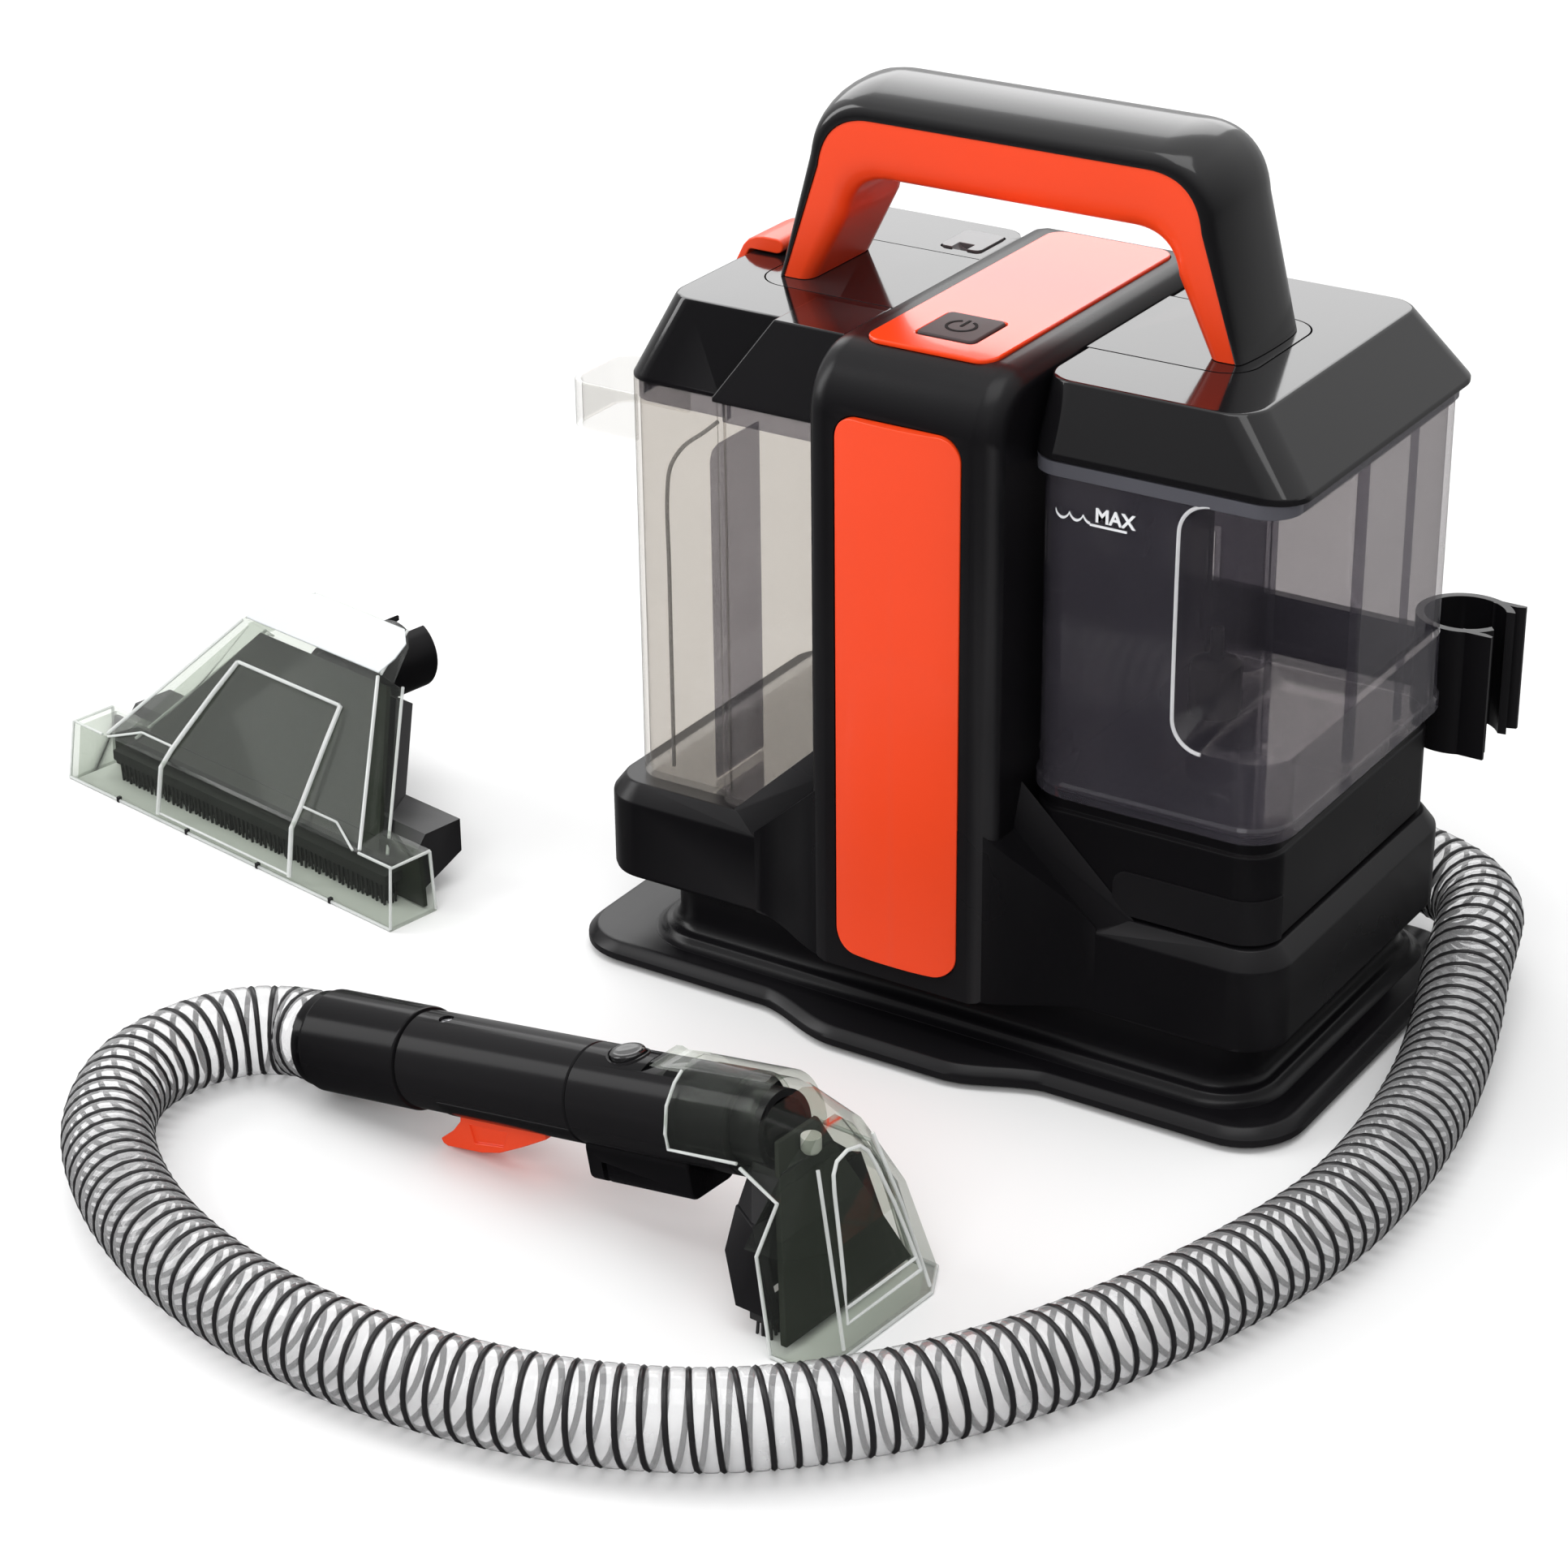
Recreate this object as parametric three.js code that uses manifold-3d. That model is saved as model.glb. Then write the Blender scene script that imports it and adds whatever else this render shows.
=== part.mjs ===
// Spot extractor: a carry-by-hand carpet and upholstery washer with a clean tank on the left,
// a dirty tank on the right, a ribbed suction hose, a spray wand with a small nozzle, and a
// loose wide nozzle. Millimetres, +Z up, +X to the machine's right, +Y to its back.
import * as THREE from 'three';
import { mergeVertices } from 'three/addons/utils/BufferGeometryUtils.js';
import { ConvexGeometry } from 'three/addons/geometries/ConvexGeometry.js';
import Module from 'manifold-3d';

const wasm = await Module();
wasm.setup();

// ---------------------------------------------------------------- driving dimensions
const GAP = 0.3; // clearance between pieces that touch
const MACHINE_X = 151.76; // the machine's centre in the whole object's frame
const MACHINE_Y = 90.795;

const FOOT_HEIGHT = 2;
const FOOT_RADIUS = 11;
const PLATE_HALF_WIDTH = 172.5;
const PLATE_FRONT = -102;
const PLATE_BACK = 100;
const PLATE_CORNER = 28;
const PLATE_BULGE = 14; // how far the plate swells forward under the column
const PLATE_THICK = 8;
const NECK = { x0: -134, y0: -79, x1: 147, y1: 82, r: 18 };

const SKIN_BOTTOM = 36; // lower edge of the outer skin all round
const RIM_LOW = 73; // outer edge of the sloping rim
const RIM_TOP = 80; // inner edge of the rim, where the tanks stand
const RIM_IN = 6; // how far the rim slopes inwards
const SKIN = { x0: -164, y0: -86, x1: 160, y1: 88, r: 20 };
const WALL = 3;

const COLUMN_HALF = 43.5;
const COLUMN_FRONT = -106;
const COLUMN_BACK = 88;
const COLUMN_TOP = 305;
const STRIP_HALF = 28.5;
const STRIP_BOTTOM = 45;
const STRIP_TOP = 281;

const TANK_BOTTOM = RIM_TOP + 1;
const CLEAN_TOP = 262;
const DIRTY_TOP = 271;
const LID_TOP = 300;
const TANK_WALL = 2.5;
const PORT_CLEAN = { y: 20, z: 100, r: 6 };
const PORT_DIRTY = { y: 60, z: 205, r: 13 };

const HANDLE_FOOT = LID_TOP + GAP;
const HANDLE_FRONT = -25;
const HANDLE_BACK = 26;
const SADDLE_REACH = 112;
const SADDLE_HALF = 35;
const SADDLE_THICK = 12;

const HOSE_RADIUS = 19;
const HOSE_AXIS_Z = 19.4; // height of the hose's centreline where it lies on the floor

const WAND = { x: -188, y: -248, heading: -5.7, axisZ: 22.5, tilt: 10.6 };
const WAND_RADIUS = 20;
const WIDE = { x: -362, y: -108, heading: -10.6 };

// ---------------------------------------------------------------- geometry helpers
const rad = THREE.MathUtils.degToRad;

function toSolid(geometry) {
  const bare = geometry.clone();
  bare.deleteAttribute('normal');
  bare.deleteAttribute('uv');
  const merged = mergeVertices(bare, 1e-4);
  const vertProperties = Float32Array.from(merged.attributes.position.array);
  const triVerts = Uint32Array.from(merged.index.array);
  return new wasm.Manifold(new wasm.Mesh({ numProp: 3, vertProperties, triVerts }));
}

function fromSolid(solid) {
  const mesh = solid.getMesh();
  const geometry = new THREE.BufferGeometry();
  geometry.setAttribute('position', new THREE.BufferAttribute(mesh.vertProperties, 3));
  geometry.setIndex(new THREE.BufferAttribute(mesh.triVerts, 1));
  return geometry;
}

function join(first, ...others) {
  return fromSolid(others.reduce((sum, next) => sum.add(toSolid(next)), toSolid(first)));
}

function cut(first, ...others) {
  return fromSolid(others.reduce((rest, next) => rest.subtract(toSolid(next)), toSolid(first)));
}

function common(first, ...others) {
  return fromSolid(others.reduce((rest, next) => rest.intersect(toSolid(next)), toSolid(first)));
}

function box(x0, x1, y0, y1, z0, z1) {
  const geometry = new THREE.BoxGeometry(x1 - x0, y1 - y0, z1 - z0);
  return geometry.translate((x0 + x1) / 2, (y0 + y1) / 2, (z0 + z1) / 2);
}

function roundRect(x0, y0, x1, y1, r) {
  const shape = new THREE.Shape();
  shape.absarc(x1 - r, y1 - r, r, 0, Math.PI / 2);
  shape.absarc(x0 + r, y1 - r, r, Math.PI / 2, Math.PI);
  shape.absarc(x0 + r, y0 + r, r, Math.PI, Math.PI * 1.5);
  shape.absarc(x1 - r, y0 + r, r, Math.PI * 1.5, Math.PI * 2);
  shape.closePath();
  return shape;
}

function insetRect(rect, inset) {
  const r = Math.max(rect.r - inset, 1);
  return roundRect(rect.x0 + inset, rect.y0 + inset, rect.x1 - inset, rect.y1 - inset, r);
}

function outline(points) {
  return new THREE.Shape(points.map(([a, b]) => new THREE.Vector2(a, b)));
}

function extrude(shape, length, curveSegments) {
  return new THREE.ExtrudeGeometry(shape, { depth: length, bevelEnabled: false, curveSegments });
}

function upZ(shape, z0, z1, segments = 2) {
  return extrude(shape, z1 - z0, segments).translate(0, 0, z0);
}

function alongY(shapeXZ, y0, y1, segments = 2) {
  return extrude(shapeXZ, y1 - y0, segments).rotateX(Math.PI / 2).translate(0, y1, 0);
}

function alongX(shapeYZ, x0, x1, segments = 2) {
  const turn = new THREE.Matrix4().makeBasis(
    new THREE.Vector3(0, 1, 0),
    new THREE.Vector3(0, 0, 1),
    new THREE.Vector3(1, 0, 0),
  );
  return extrude(shapeYZ, x1 - x0, segments).applyMatrix4(turn).translate(x0, 0, 0);
}

function rod(axis, radius, from, to, a, b, sides = 20) {
  // A cylinder along axis from one coordinate to the other; a and b are its other two coordinates.
  const geometry = new THREE.CylinderGeometry(radius, radius, to - from, sides);
  const middle = (from + to) / 2;
  if (axis === 'x') return geometry.rotateZ(-Math.PI / 2).translate(middle, a, b);
  if (axis === 'y') return geometry.translate(a, middle, b);
  return geometry.rotateX(Math.PI / 2).translate(a, b, middle);
}

function hull(points) {
  return new ConvexGeometry(points.map(([x, y, z]) => new THREE.Vector3(x, y, z)));
}

function mirrored(points) {
  // Points given for one side of the XZ plane, with their mirror images.
  return points.concat(points.map(([x, y, z]) => [x, -y, z]));
}

function mirroredX(points) {
  return points.concat(points.map(([x, y, z]) => [-x, y, z]));
}

function ringAt(shape, z, segments = 4) {
  return shape.getPoints(segments).map((p) => [p.x, p.y, z]);
}

function taper(lowShape, lowZ, highShape, highZ) {
  return hull(ringAt(lowShape, lowZ).concat(ringAt(highShape, highZ)));
}

function pipe(points, outer, inner, steps, sides = 6) {
  // A hollow pipe, or a solid one when inner is 0, along a smooth curve through the points.
  const section = new THREE.Shape();
  section.absarc(0, 0, outer, 0, Math.PI * 2);
  if (inner > 0) {
    const hole = new THREE.Path();
    hole.absarc(0, 0, inner, 0, Math.PI * 2, true);
    section.holes.push(hole);
  }
  const curve = new THREE.CatmullRomCurve3(points.map(([x, y, z]) => new THREE.Vector3(x, y, z)));
  return new THREE.ExtrudeGeometry(section, { steps, extrudePath: curve, curveSegments: sides });
}

// ---------------------------------------------------------------- finishes
function finish(color, roughness, metalness = 0, opacity = 1) {
  return new THREE.MeshStandardMaterial({
    color,
    roughness,
    metalness,
    opacity,
    transparent: opacity < 1,
  });
}

const satinBlack = finish(0x1d1b20, 0.42);
const glossBlack = finish(0x0c0b0e, 0.12);
const orange = finish(0xf2401c, 0.35);
const smoke = finish(0x6b655f, 0.08, 0, 0.45);
const clearGrey = finish(0x9aa39a, 0.08, 0, 0.4);
const rubber = finish(0x141414, 0.8);
const steel = finish(0xb8b8bc, 0.35, 1);
const copper = finish(0x8a5a30, 0.4, 1);
const boardGreen = finish(0x1e5a34, 0.5);
const hoseClear = finish(0xc9ccc8, 0.2, 0, 0.6);
const greyPlastic = finish(0x6f7276, 0.4);
const bristle = finish(0x101010, 0.9);
const white = finish(0xe8e6e0, 0.6);

function piece(group, name, geometry, material) {
  const mesh = new THREE.Mesh(geometry, material);
  mesh.name = name;
  group.add(mesh);
}

const machine = new THREE.Group();
machine.position.set(MACHINE_X, MACHINE_Y, 0);

// ---------------------------------------------------------------- base
function plateOutline() {
  const w = PLATE_HALF_WIDTH;
  const r = PLATE_CORNER;
  const swell = PLATE_FRONT - PLATE_BULGE;
  const shape = new THREE.Shape();
  shape.moveTo(-w + r, PLATE_FRONT);
  shape.lineTo(-64, PLATE_FRONT);
  shape.bezierCurveTo(-44, PLATE_FRONT, -40, swell, -8, swell);
  shape.lineTo(8, swell);
  shape.bezierCurveTo(40, swell, 44, PLATE_FRONT, 64, PLATE_FRONT);
  shape.lineTo(w - r, PLATE_FRONT);
  shape.absarc(w - r, PLATE_FRONT + r, r, -Math.PI / 2, 0);
  shape.absarc(w - r, PLATE_BACK - r, r, 0, Math.PI / 2);
  shape.absarc(-w + r, PLATE_BACK - r, r, Math.PI / 2, Math.PI);
  shape.absarc(-w + r, PLATE_FRONT + r, r, Math.PI, Math.PI * 1.5);
  return shape;
}

const plateBottom = FOOT_HEIGHT + GAP;
const plateTop = plateBottom + PLATE_THICK;
const plateBevel = 2.4;
const neckTop = SKIN_BOTTOM - GAP;

function basePlate() {
  const plate = new THREE.ExtrudeGeometry(plateOutline(), {
    depth: PLATE_THICK - 2 * plateBevel,
    bevelThickness: plateBevel,
    bevelSize: plateBevel,
    bevelOffset: -plateBevel,
    bevelSegments: 1,
    curveSegments: 4,
  }).translate(0, 0, plateBottom + plateBevel);
  const bead = upZ(insetRect(NECK, -5), plateTop - 1, plateTop + 3.5);
  const neck = upZ(insetRect(NECK, 0), plateTop - 1, neckTop);
  const hollow = upZ(insetRect(NECK, WALL), plateTop, neckTop + 1);
  return cut(join(plate, bead, neck), hollow);
}

piece(machine, 'base_plate', basePlate(), satinBlack);
const footPlaces = [[-138, -70], [138, -70], [-138, 68], [138, 68]];
footPlaces.forEach(([x, y], index) => {
  piece(machine, `rubber_foot_${index + 1}`, rod('z', FOOT_RADIUS, 0, FOOT_HEIGHT, x, y), rubber);
});

// ---------------------------------------------------------------- lower housing
const columnOuter = {
  x0: -COLUMN_HALF,
  y0: COLUMN_FRONT,
  x1: COLUMN_HALF,
  y1: COLUMN_BACK,
  r: 12,
};

function rimmedHalf(x0, x1) {
  const low = roundRect(x0, SKIN.y0, x1, SKIN.y1, SKIN.r);
  const high = roundRect(
    x0 < 0 ? x0 + RIM_IN : x0,
    SKIN.y0 + RIM_IN,
    x0 < 0 ? x1 : x1 - RIM_IN,
    SKIN.y1 - RIM_IN,
    SKIN.r - RIM_IN,
  );
  return hull([
    ...ringAt(low, SKIN_BOTTOM),
    ...ringAt(low, RIM_LOW),
    ...ringAt(high, RIM_TOP),
  ]);
}

function cheek(side) {
  // The sloping web that rises from the rim to the column, in front of a tank.
  const front = [[83, RIM_LOW], [COLUMN_HALF, 112], [COLUMN_HALF, 50], [83, 50]];
  const back = [[96, RIM_TOP], [COLUMN_HALF, 129], [COLUMN_HALF, 50], [96, 50]];
  const frontPoints = front.map(([x, z]) => [side * x, SKIN.y0, z]);
  const backPoints = back.map(([x, z]) => [side * x, SKIN.y0 + RIM_IN, z]);
  return hull(frontPoints.concat(backPoints));
}

function lowerHousing() {
  const inner = 30; // each half reaches this close to the middle, inside the column's slot
  const outer = join(
    rimmedHalf(SKIN.x0, -inner),
    rimmedHalf(inner, SKIN.x1),
    box(-inner - 20, inner + 20, -60, SKIN.y1 - 4, SKIN_BOTTOM, RIM_LOW),
    cheek(-1),
    cheek(1),
  );
  const hollow = upZ(insetRect(SKIN, WALL), SKIN_BOTTOM + WALL, RIM_TOP - RIM_IN - 1);
  const floorHole = upZ(insetRect(NECK, WALL), SKIN_BOTTOM - 1, SKIN_BOTTOM + WALL + 1);
  const slot = upZ(insetRect(columnOuter, -GAP), SKIN_BOTTOM + WALL, COLUMN_TOP);
  const hoseHole = rod('y', 17, SKIN.y1 - 6, SKIN.y1 + 1, -137, 56);
  return cut(outer, hollow, floorHole, slot, hoseHole);
}

piece(machine, 'lower_housing', lowerHousing(), satinBlack);

// ---------------------------------------------------------------- column
const columnFoot = SKIN_BOTTOM + WALL + GAP; // the column stands on the lower housing's floor

function columnShell() {
  const half = COLUMN_HALF;
  const plan = upZ(insetRect(columnOuter, 0), SKIN_BOTTOM, COLUMN_TOP);
  const side = new THREE.Shape();
  side.moveTo(COLUMN_FRONT, SKIN_BOTTOM);
  side.lineTo(COLUMN_BACK, SKIN_BOTTOM);
  side.absarc(COLUMN_BACK - 18, COLUMN_TOP - 18, 18, 0, Math.PI / 2);
  side.absarc(COLUMN_FRONT + 27, COLUMN_TOP - 27, 27, Math.PI / 2, Math.PI);
  side.closePath();
  const front = outline([
    [-half, SKIN_BOTTOM],
    [half, SKIN_BOTTOM],
    [half, COLUMN_TOP - 8],
    [half - 8, COLUMN_TOP],
    [-half + 8, COLUMN_TOP],
    [-half, COLUMN_TOP - 8],
  ]);
  const body = common(plan, alongX(side, -half - 1, half + 1, 6), alongY(front, -120, 120));
  const stripPocket = roundRect(
    -STRIP_HALF - GAP,
    STRIP_BOTTOM - GAP,
    STRIP_HALF + GAP,
    STRIP_TOP + GAP,
    10,
  );
  const shoulder = COLUMN_TOP - 27; // the front starts to roll over into the top here
  return cut(
    body,
    box(-half + WALL, half - WALL, COLUMN_FRONT + 5, COLUMN_BACK - WALL, columnFoot + WALL, shoulder),
    box(-half + WALL, half - WALL, COLUMN_FRONT + 20, COLUMN_BACK - 9, shoulder - 1, 298),
    box(-half - 1, half + 1, SKIN.y0 - GAP, COLUMN_BACK + 1, SKIN_BOTTOM - 1, columnFoot),
    box(-half + 6, half - 6, NECK.y0 + 8, COLUMN_BACK - 12, columnFoot - 1, columnFoot + 5),
    alongY(stripPocket, COLUMN_FRONT - 1, COLUMN_FRONT + 1.5),
    upZ(roundRect(-29.3, -85.3, 29.3, 70.3, 6), COLUMN_TOP - 1, COLUMN_TOP + 1),
    upZ(roundRect(-14, -72, 14, -42, 3), 296, COLUMN_TOP + 1),
    box(-32, 32, COLUMN_BACK - WALL - 1, COLUMN_BACK + 1, 100, 280),
    box(-half - 1, half + 1, 40, 78, SKIN_BOTTOM + 4, 72),
    rod('x', PORT_CLEAN.r + 3, -half - 1, -half + WALL + 1, PORT_CLEAN.y, PORT_CLEAN.z),
    rod('x', PORT_DIRTY.r + 3, half - WALL - 1, half + 1, PORT_DIRTY.y, PORT_DIRTY.z),
  );
}

piece(machine, 'column_shell', columnShell(), satinBlack);

function frontStrip() {
  const shape = roundRect(-STRIP_HALF, STRIP_BOTTOM, STRIP_HALF, STRIP_TOP, 10);
  const crown = new THREE.Shape();
  crown.moveTo(-STRIP_HALF, COLUMN_FRONT + 1.2);
  crown.quadraticCurveTo(0, COLUMN_FRONT - 6, STRIP_HALF, COLUMN_FRONT + 1.2);
  crown.closePath();
  return common(alongY(shape, COLUMN_FRONT - 6, COLUMN_FRONT + 2), upZ(crown, 0, 400, 8));
}

piece(machine, 'front_strip', frontStrip(), orange);

const panelTop = COLUMN_TOP + 1.2;
const buttonHole = upZ(roundRect(-13.6, -71.4, 13.6, -42.6, 3), 290, 320);
const panelPlate = upZ(roundRect(-29, -85, 29, 70, 6), COLUMN_TOP - 1 + GAP, panelTop);
piece(machine, 'top_panel', cut(panelPlate, buttonHole), orange);
const buttonCap = upZ(roundRect(-13.2, -71, 13.2, -43, 3), panelTop - 4.5, panelTop + 1);
piece(machine, 'power_button', buttonCap, glossBlack);
piece(machine, 'power_switch', box(-9, 9, -64, -50, 288, 295), satinBlack);
piece(machine, 'control_board', box(-34, 34, -84, -20, 284, 286), boardGreen);

// ---------------------------------------------------------------- handle
function archOutline(halfFoot, halfTop, crownZ, radius, bottom) {
  // An arch in the XZ plane with legs that lean inwards; halfTop is its half width at crownZ.
  const shape = new THREE.Shape();
  shape.moveTo(halfFoot, bottom);
  shape.lineTo(halfTop + 3, crownZ - radius);
  shape.quadraticCurveTo(halfTop, crownZ, halfTop - radius, crownZ);
  shape.lineTo(-halfTop + radius, crownZ);
  shape.quadraticCurveTo(-halfTop, crownZ, -halfTop - 3, crownZ - radius);
  shape.lineTo(-halfFoot, bottom);
  shape.closePath();
  return shape;
}

function handleShell() {
  const outer = alongY(
    archOutline(108, 92, 385, 26, HANDLE_FOOT),
    HANDLE_FRONT,
    HANDLE_BACK,
    6,
  );
  const inner = alongY(
    archOutline(103.5, 84, 372, 22, HANDLE_FOOT - 1),
    HANDLE_FRONT - 1,
    HANDLE_BACK + 1,
    6,
  );
  const crown = new THREE.Shape();
  crown.moveTo(HANDLE_FRONT, HANDLE_FOOT - 1);
  crown.lineTo(HANDLE_BACK, HANDLE_FOOT - 1);
  crown.lineTo(HANDLE_BACK, 366);
  crown.quadraticCurveTo(HANDLE_BACK - 1, 381, 8, 384);
  crown.quadraticCurveTo(HANDLE_FRONT + 2, 385, HANDLE_FRONT, 378);
  crown.closePath();
  return cut(common(outer, alongX(crown, -120, 120, 4)), inner);
}

function handleTrim() {
  const outer = alongY(
    archOutline(103.5 - 2 * GAP, 84 - 2 * GAP, 372 - GAP, 22, HANDLE_FOOT),
    HANDLE_FRONT,
    HANDLE_BACK,
    6,
  );
  const inner = alongY(
    archOutline(91, 73, 347, 18, HANDLE_FOOT - 1),
    HANDLE_FRONT - 1,
    HANDLE_BACK + 1,
    6,
  );
  return cut(outer, inner);
}

piece(machine, 'handle_shell', handleShell(), glossBlack);
piece(machine, 'handle_trim', handleTrim(), orange);
for (const [side, word] of [[-1, 'left'], [1, 'right']]) {
  const near = side * (COLUMN_HALF + GAP);
  const far = side * SADDLE_REACH;
  const middle = near + side * 30;
  const plan = roundRect(Math.min(middle, far), -SADDLE_HALF, Math.max(middle, far), SADDLE_HALF, 14);
  const span = box(
    Math.min(near, middle + side * 15),
    Math.max(near, middle + side * 15),
    -SADDLE_HALF,
    SADDLE_HALF,
    LID_TOP - SADDLE_THICK,
    LID_TOP,
  );
  const plate = join(upZ(plan, LID_TOP - SADDLE_THICK, LID_TOP), span);
  piece(machine, `handle_base_${word}`, plate, glossBlack);
}

// ---------------------------------------------------------------- rear of the machine
const rearY = COLUMN_BACK + GAP;
const coverThick = 3;
const rearScrews = [[-35, 102], [35, 102], [-35, 278], [35, 278]];

function rearCover() {
  const plate = alongY(roundRect(-41, 94, 41, 286, 6), rearY, rearY + coverThick);
  const slots = [];
  for (let row = 0; row < 7; row += 1) {
    const z = 170 + row * 10;
    slots.push(box(-22, 22, rearY - 1, rearY + coverThick + 1, z, z + 4));
  }
  const glandHole = rod('y', 7, rearY - 1, rearY + coverThick + 1, 0, 118);
  return cut(plate, glandHole, ...slots);
}

piece(machine, 'rear_cover', rearCover(), satinBlack);
rearScrews.forEach(([x, z], index) => {
  const from = rearY + coverThick + GAP;
  piece(machine, `rear_screw_${index + 1}`, rod('y', 3, from, from + 1.2, x, z, 12), steel);
});
const glandRing = rod('y', 10, rearY + coverThick + GAP, rearY + 9, 0, 118);
const glandStem = rod('y', 6.6, rearY - 4, rearY + 6, 0, 118);
const glandBore = rod('y', 3.8, rearY - 2, rearY + 10, 0, 118, 16);
piece(machine, 'cord_gland', cut(join(glandRing, glandStem), glandBore), rubber);

function cordHook(z, lip) {
  const root = rearY + coverThick + GAP;
  const arm = box(-12, 12, root, root + 22, z - 3, z + 3);
  const end = box(-12, 12, root + 18, root + 22, Math.min(z, z + lip), Math.max(z, z + lip));
  return join(arm, end);
}

piece(machine, 'cord_hook_lower', cordHook(144, -16), satinBlack);
piece(machine, 'cord_hook_upper', cordHook(262, 16), satinBlack);

function wandCradle() {
  const x = 148;
  const y = 117;
  const ring = cut(rod('z', 21, 96, 153, x, y, 28), rod('z', 17.5, 95, 154, x, y, 28));
  const lips = join(
    box(x + 8, x + 20, y - 19.5, y - 16, 96, 153),
    box(x + 8, x + 20, y + 16, y + 19.5, 96, 153),
  );
  const mouth = box(x + 10, x + 40, y - 16, y + 16, 95, 154);
  const bracket = box(x - 46, x - 17, y - 6, y - 1, 104, 144);
  const foot = box(COLUMN_HALF - 30, x - 42, y - 6, y - 1, 104, 144);
  const post = box(COLUMN_HALF - 30, COLUMN_HALF - 4, rearY + coverThick + GAP, y - 3, 118, 136);
  return join(cut(join(ring, lips), mouth), bracket, foot, post);
}

piece(machine, 'wand_cradle', wandCradle(), satinBlack);

// A quarter-turn spout: it leaves the rear wall and turns to lead the hose to the right.
const outletTurn = 24;
const outletX = -137;
const outletZ = 56;
const hoseStartX = outletX + outletTurn + GAP;
const hoseStartY = SKIN.y1 + GAP + outletTurn;

function hoseOutlet() {
  const points = [[outletX, SKIN.y1 - 8, outletZ]];
  for (let step = 0; step <= 6; step += 1) {
    const angle = (step / 6) * Math.PI / 2;
    points.push([
      outletX + outletTurn * (1 - Math.cos(angle)),
      SKIN.y1 + GAP + outletTurn * Math.sin(angle),
      outletZ,
    ]);
  }
  points.push([hoseStartX + 8, hoseStartY, outletZ]);
  return cut(
    pipe(points, 21, 16, 9),
    box(-200, 0, SKIN.y1 - 60, SKIN.y1 + GAP, 0, 100),
    box(hoseStartX - GAP, 0, 60, 160, 0, 100),
  );
}

piece(machine, 'hose_outlet', hoseOutlet(), satinBlack);

function hoseRest() {
  const shelf = box(-28, -8, SKIN.y1 + GAP, hoseStartY + 24, 46, 51);
  const lip = box(-28, -8, hoseStartY + 20.5, hoseStartY + 24, 46, 68);
  const root = box(-28, -8, SKIN.y1 + GAP, SKIN.y1 + 4, 46, 68);
  return join(shelf, lip, root);
}

piece(machine, 'hose_rest', hoseRest(), satinBlack);

// ---------------------------------------------------------------- inside the machine
piece(machine, 'suction_motor', join(
  rod('z', 34, 122, 186, 0, 8, 20),
  rod('z', 22, 112, 123, 0, 8, 20),
  rod('z', 4, 185, 199, 0, 8, 12),
), steel);

function impeller() {
  const disc = rod('z', 31, 200, 202, 0, 8, 20);
  const hub = rod('z', 9, 201, 214, 0, 8, 20);
  const blades = [];
  for (let blade = 0; blade < 8; blade += 1) {
    blades.push(box(8, 29, -1, 1, 201, 213).rotateZ((blade / 8) * Math.PI * 2).translate(0, 8, 0));
  }
  return cut(join(disc, hub, ...blades), rod('z', 4 + GAP, 198, 206, 0, 8, 12));
}

piece(machine, 'impeller', impeller(), copper);
const fanCan = rod('z', 37, 190, 222, 0, 8, 20);
const fanSpace = rod('z', 34.5, 189, 219, 0, 8, 20);
const fanEye = rod('z', 14, 218, 223, 0, 8, 20);
piece(machine, 'fan_housing', cut(fanCan, fanSpace, fanEye), greyPlastic);
piece(machine, 'water_pump', join(
  rod('x', 14, -118, -78, 10, 56, 20),
  box(-78.5, -58, -4, 24, 42, 70),
), greyPlastic);
const ductPath = [
  [-137, 84, 56],
  [-135, 68, 56],
  [-118, 60, 56],
  [-60, 60, 56],
  [-18, 60, 58],
  [-2, 60, 74],
  [0, 60, 110],
  [0, 60, 170],
  [6, 60, 196],
  [22, 60, 205],
  [36, 60, 205],
];
piece(machine, 'suction_duct', pipe(ductPath, 13.5, 11.5, 20, 4), greyPlastic);
const sealOuter = PORT_CLEAN.r + 2.7;
piece(machine, 'clean_port_seal', cut(
  rod('x', sealOuter, -COLUMN_HALF + GAP, -COLUMN_HALF + WALL, PORT_CLEAN.y, PORT_CLEAN.z, 20),
  rod('x', PORT_CLEAN.r + GAP, -60, 0, PORT_CLEAN.y, PORT_CLEAN.z, 20),
), rubber);
piece(machine, 'dirty_port_seal', cut(
  rod('x', PORT_DIRTY.r + 2.7, COLUMN_HALF - WALL, COLUMN_HALF - GAP, PORT_DIRTY.y, PORT_DIRTY.z),
  rod('x', PORT_DIRTY.r + GAP, 0, 60, PORT_DIRTY.y, PORT_DIRTY.z),
), rubber);

// ---------------------------------------------------------------- clean tank (left)
const cleanInner = -COLUMN_HALF - 1;
const cleanStep = -104; // the inner part of the tank stands proud of the outer part from here
const cleanParts = [
  { x0: -151, y0: -75, x1: cleanStep + 20, y1: 84, r: 12 },
  { x0: cleanStep, y0: -79.5, x1: cleanInner, y1: 84, r: 6 },
];

function cleanTank() {
  const outer = cleanParts.map((part) => upZ(insetRect(part, 0), TANK_BOTTOM, CLEAN_TOP));
  const inner = cleanParts.map((part) => {
    return upZ(insetRect(part, TANK_WALL), TANK_BOTTOM + TANK_WALL, CLEAN_TOP + 1);
  });
  const port = rod('x', PORT_CLEAN.r + GAP, cleanInner - 5, cleanInner + 1, PORT_CLEAN.y, PORT_CLEAN.z);
  return cut(join(...outer), ...inner, port);
}

piece(machine, 'clean_tank', cleanTank(), smoke);

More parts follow.
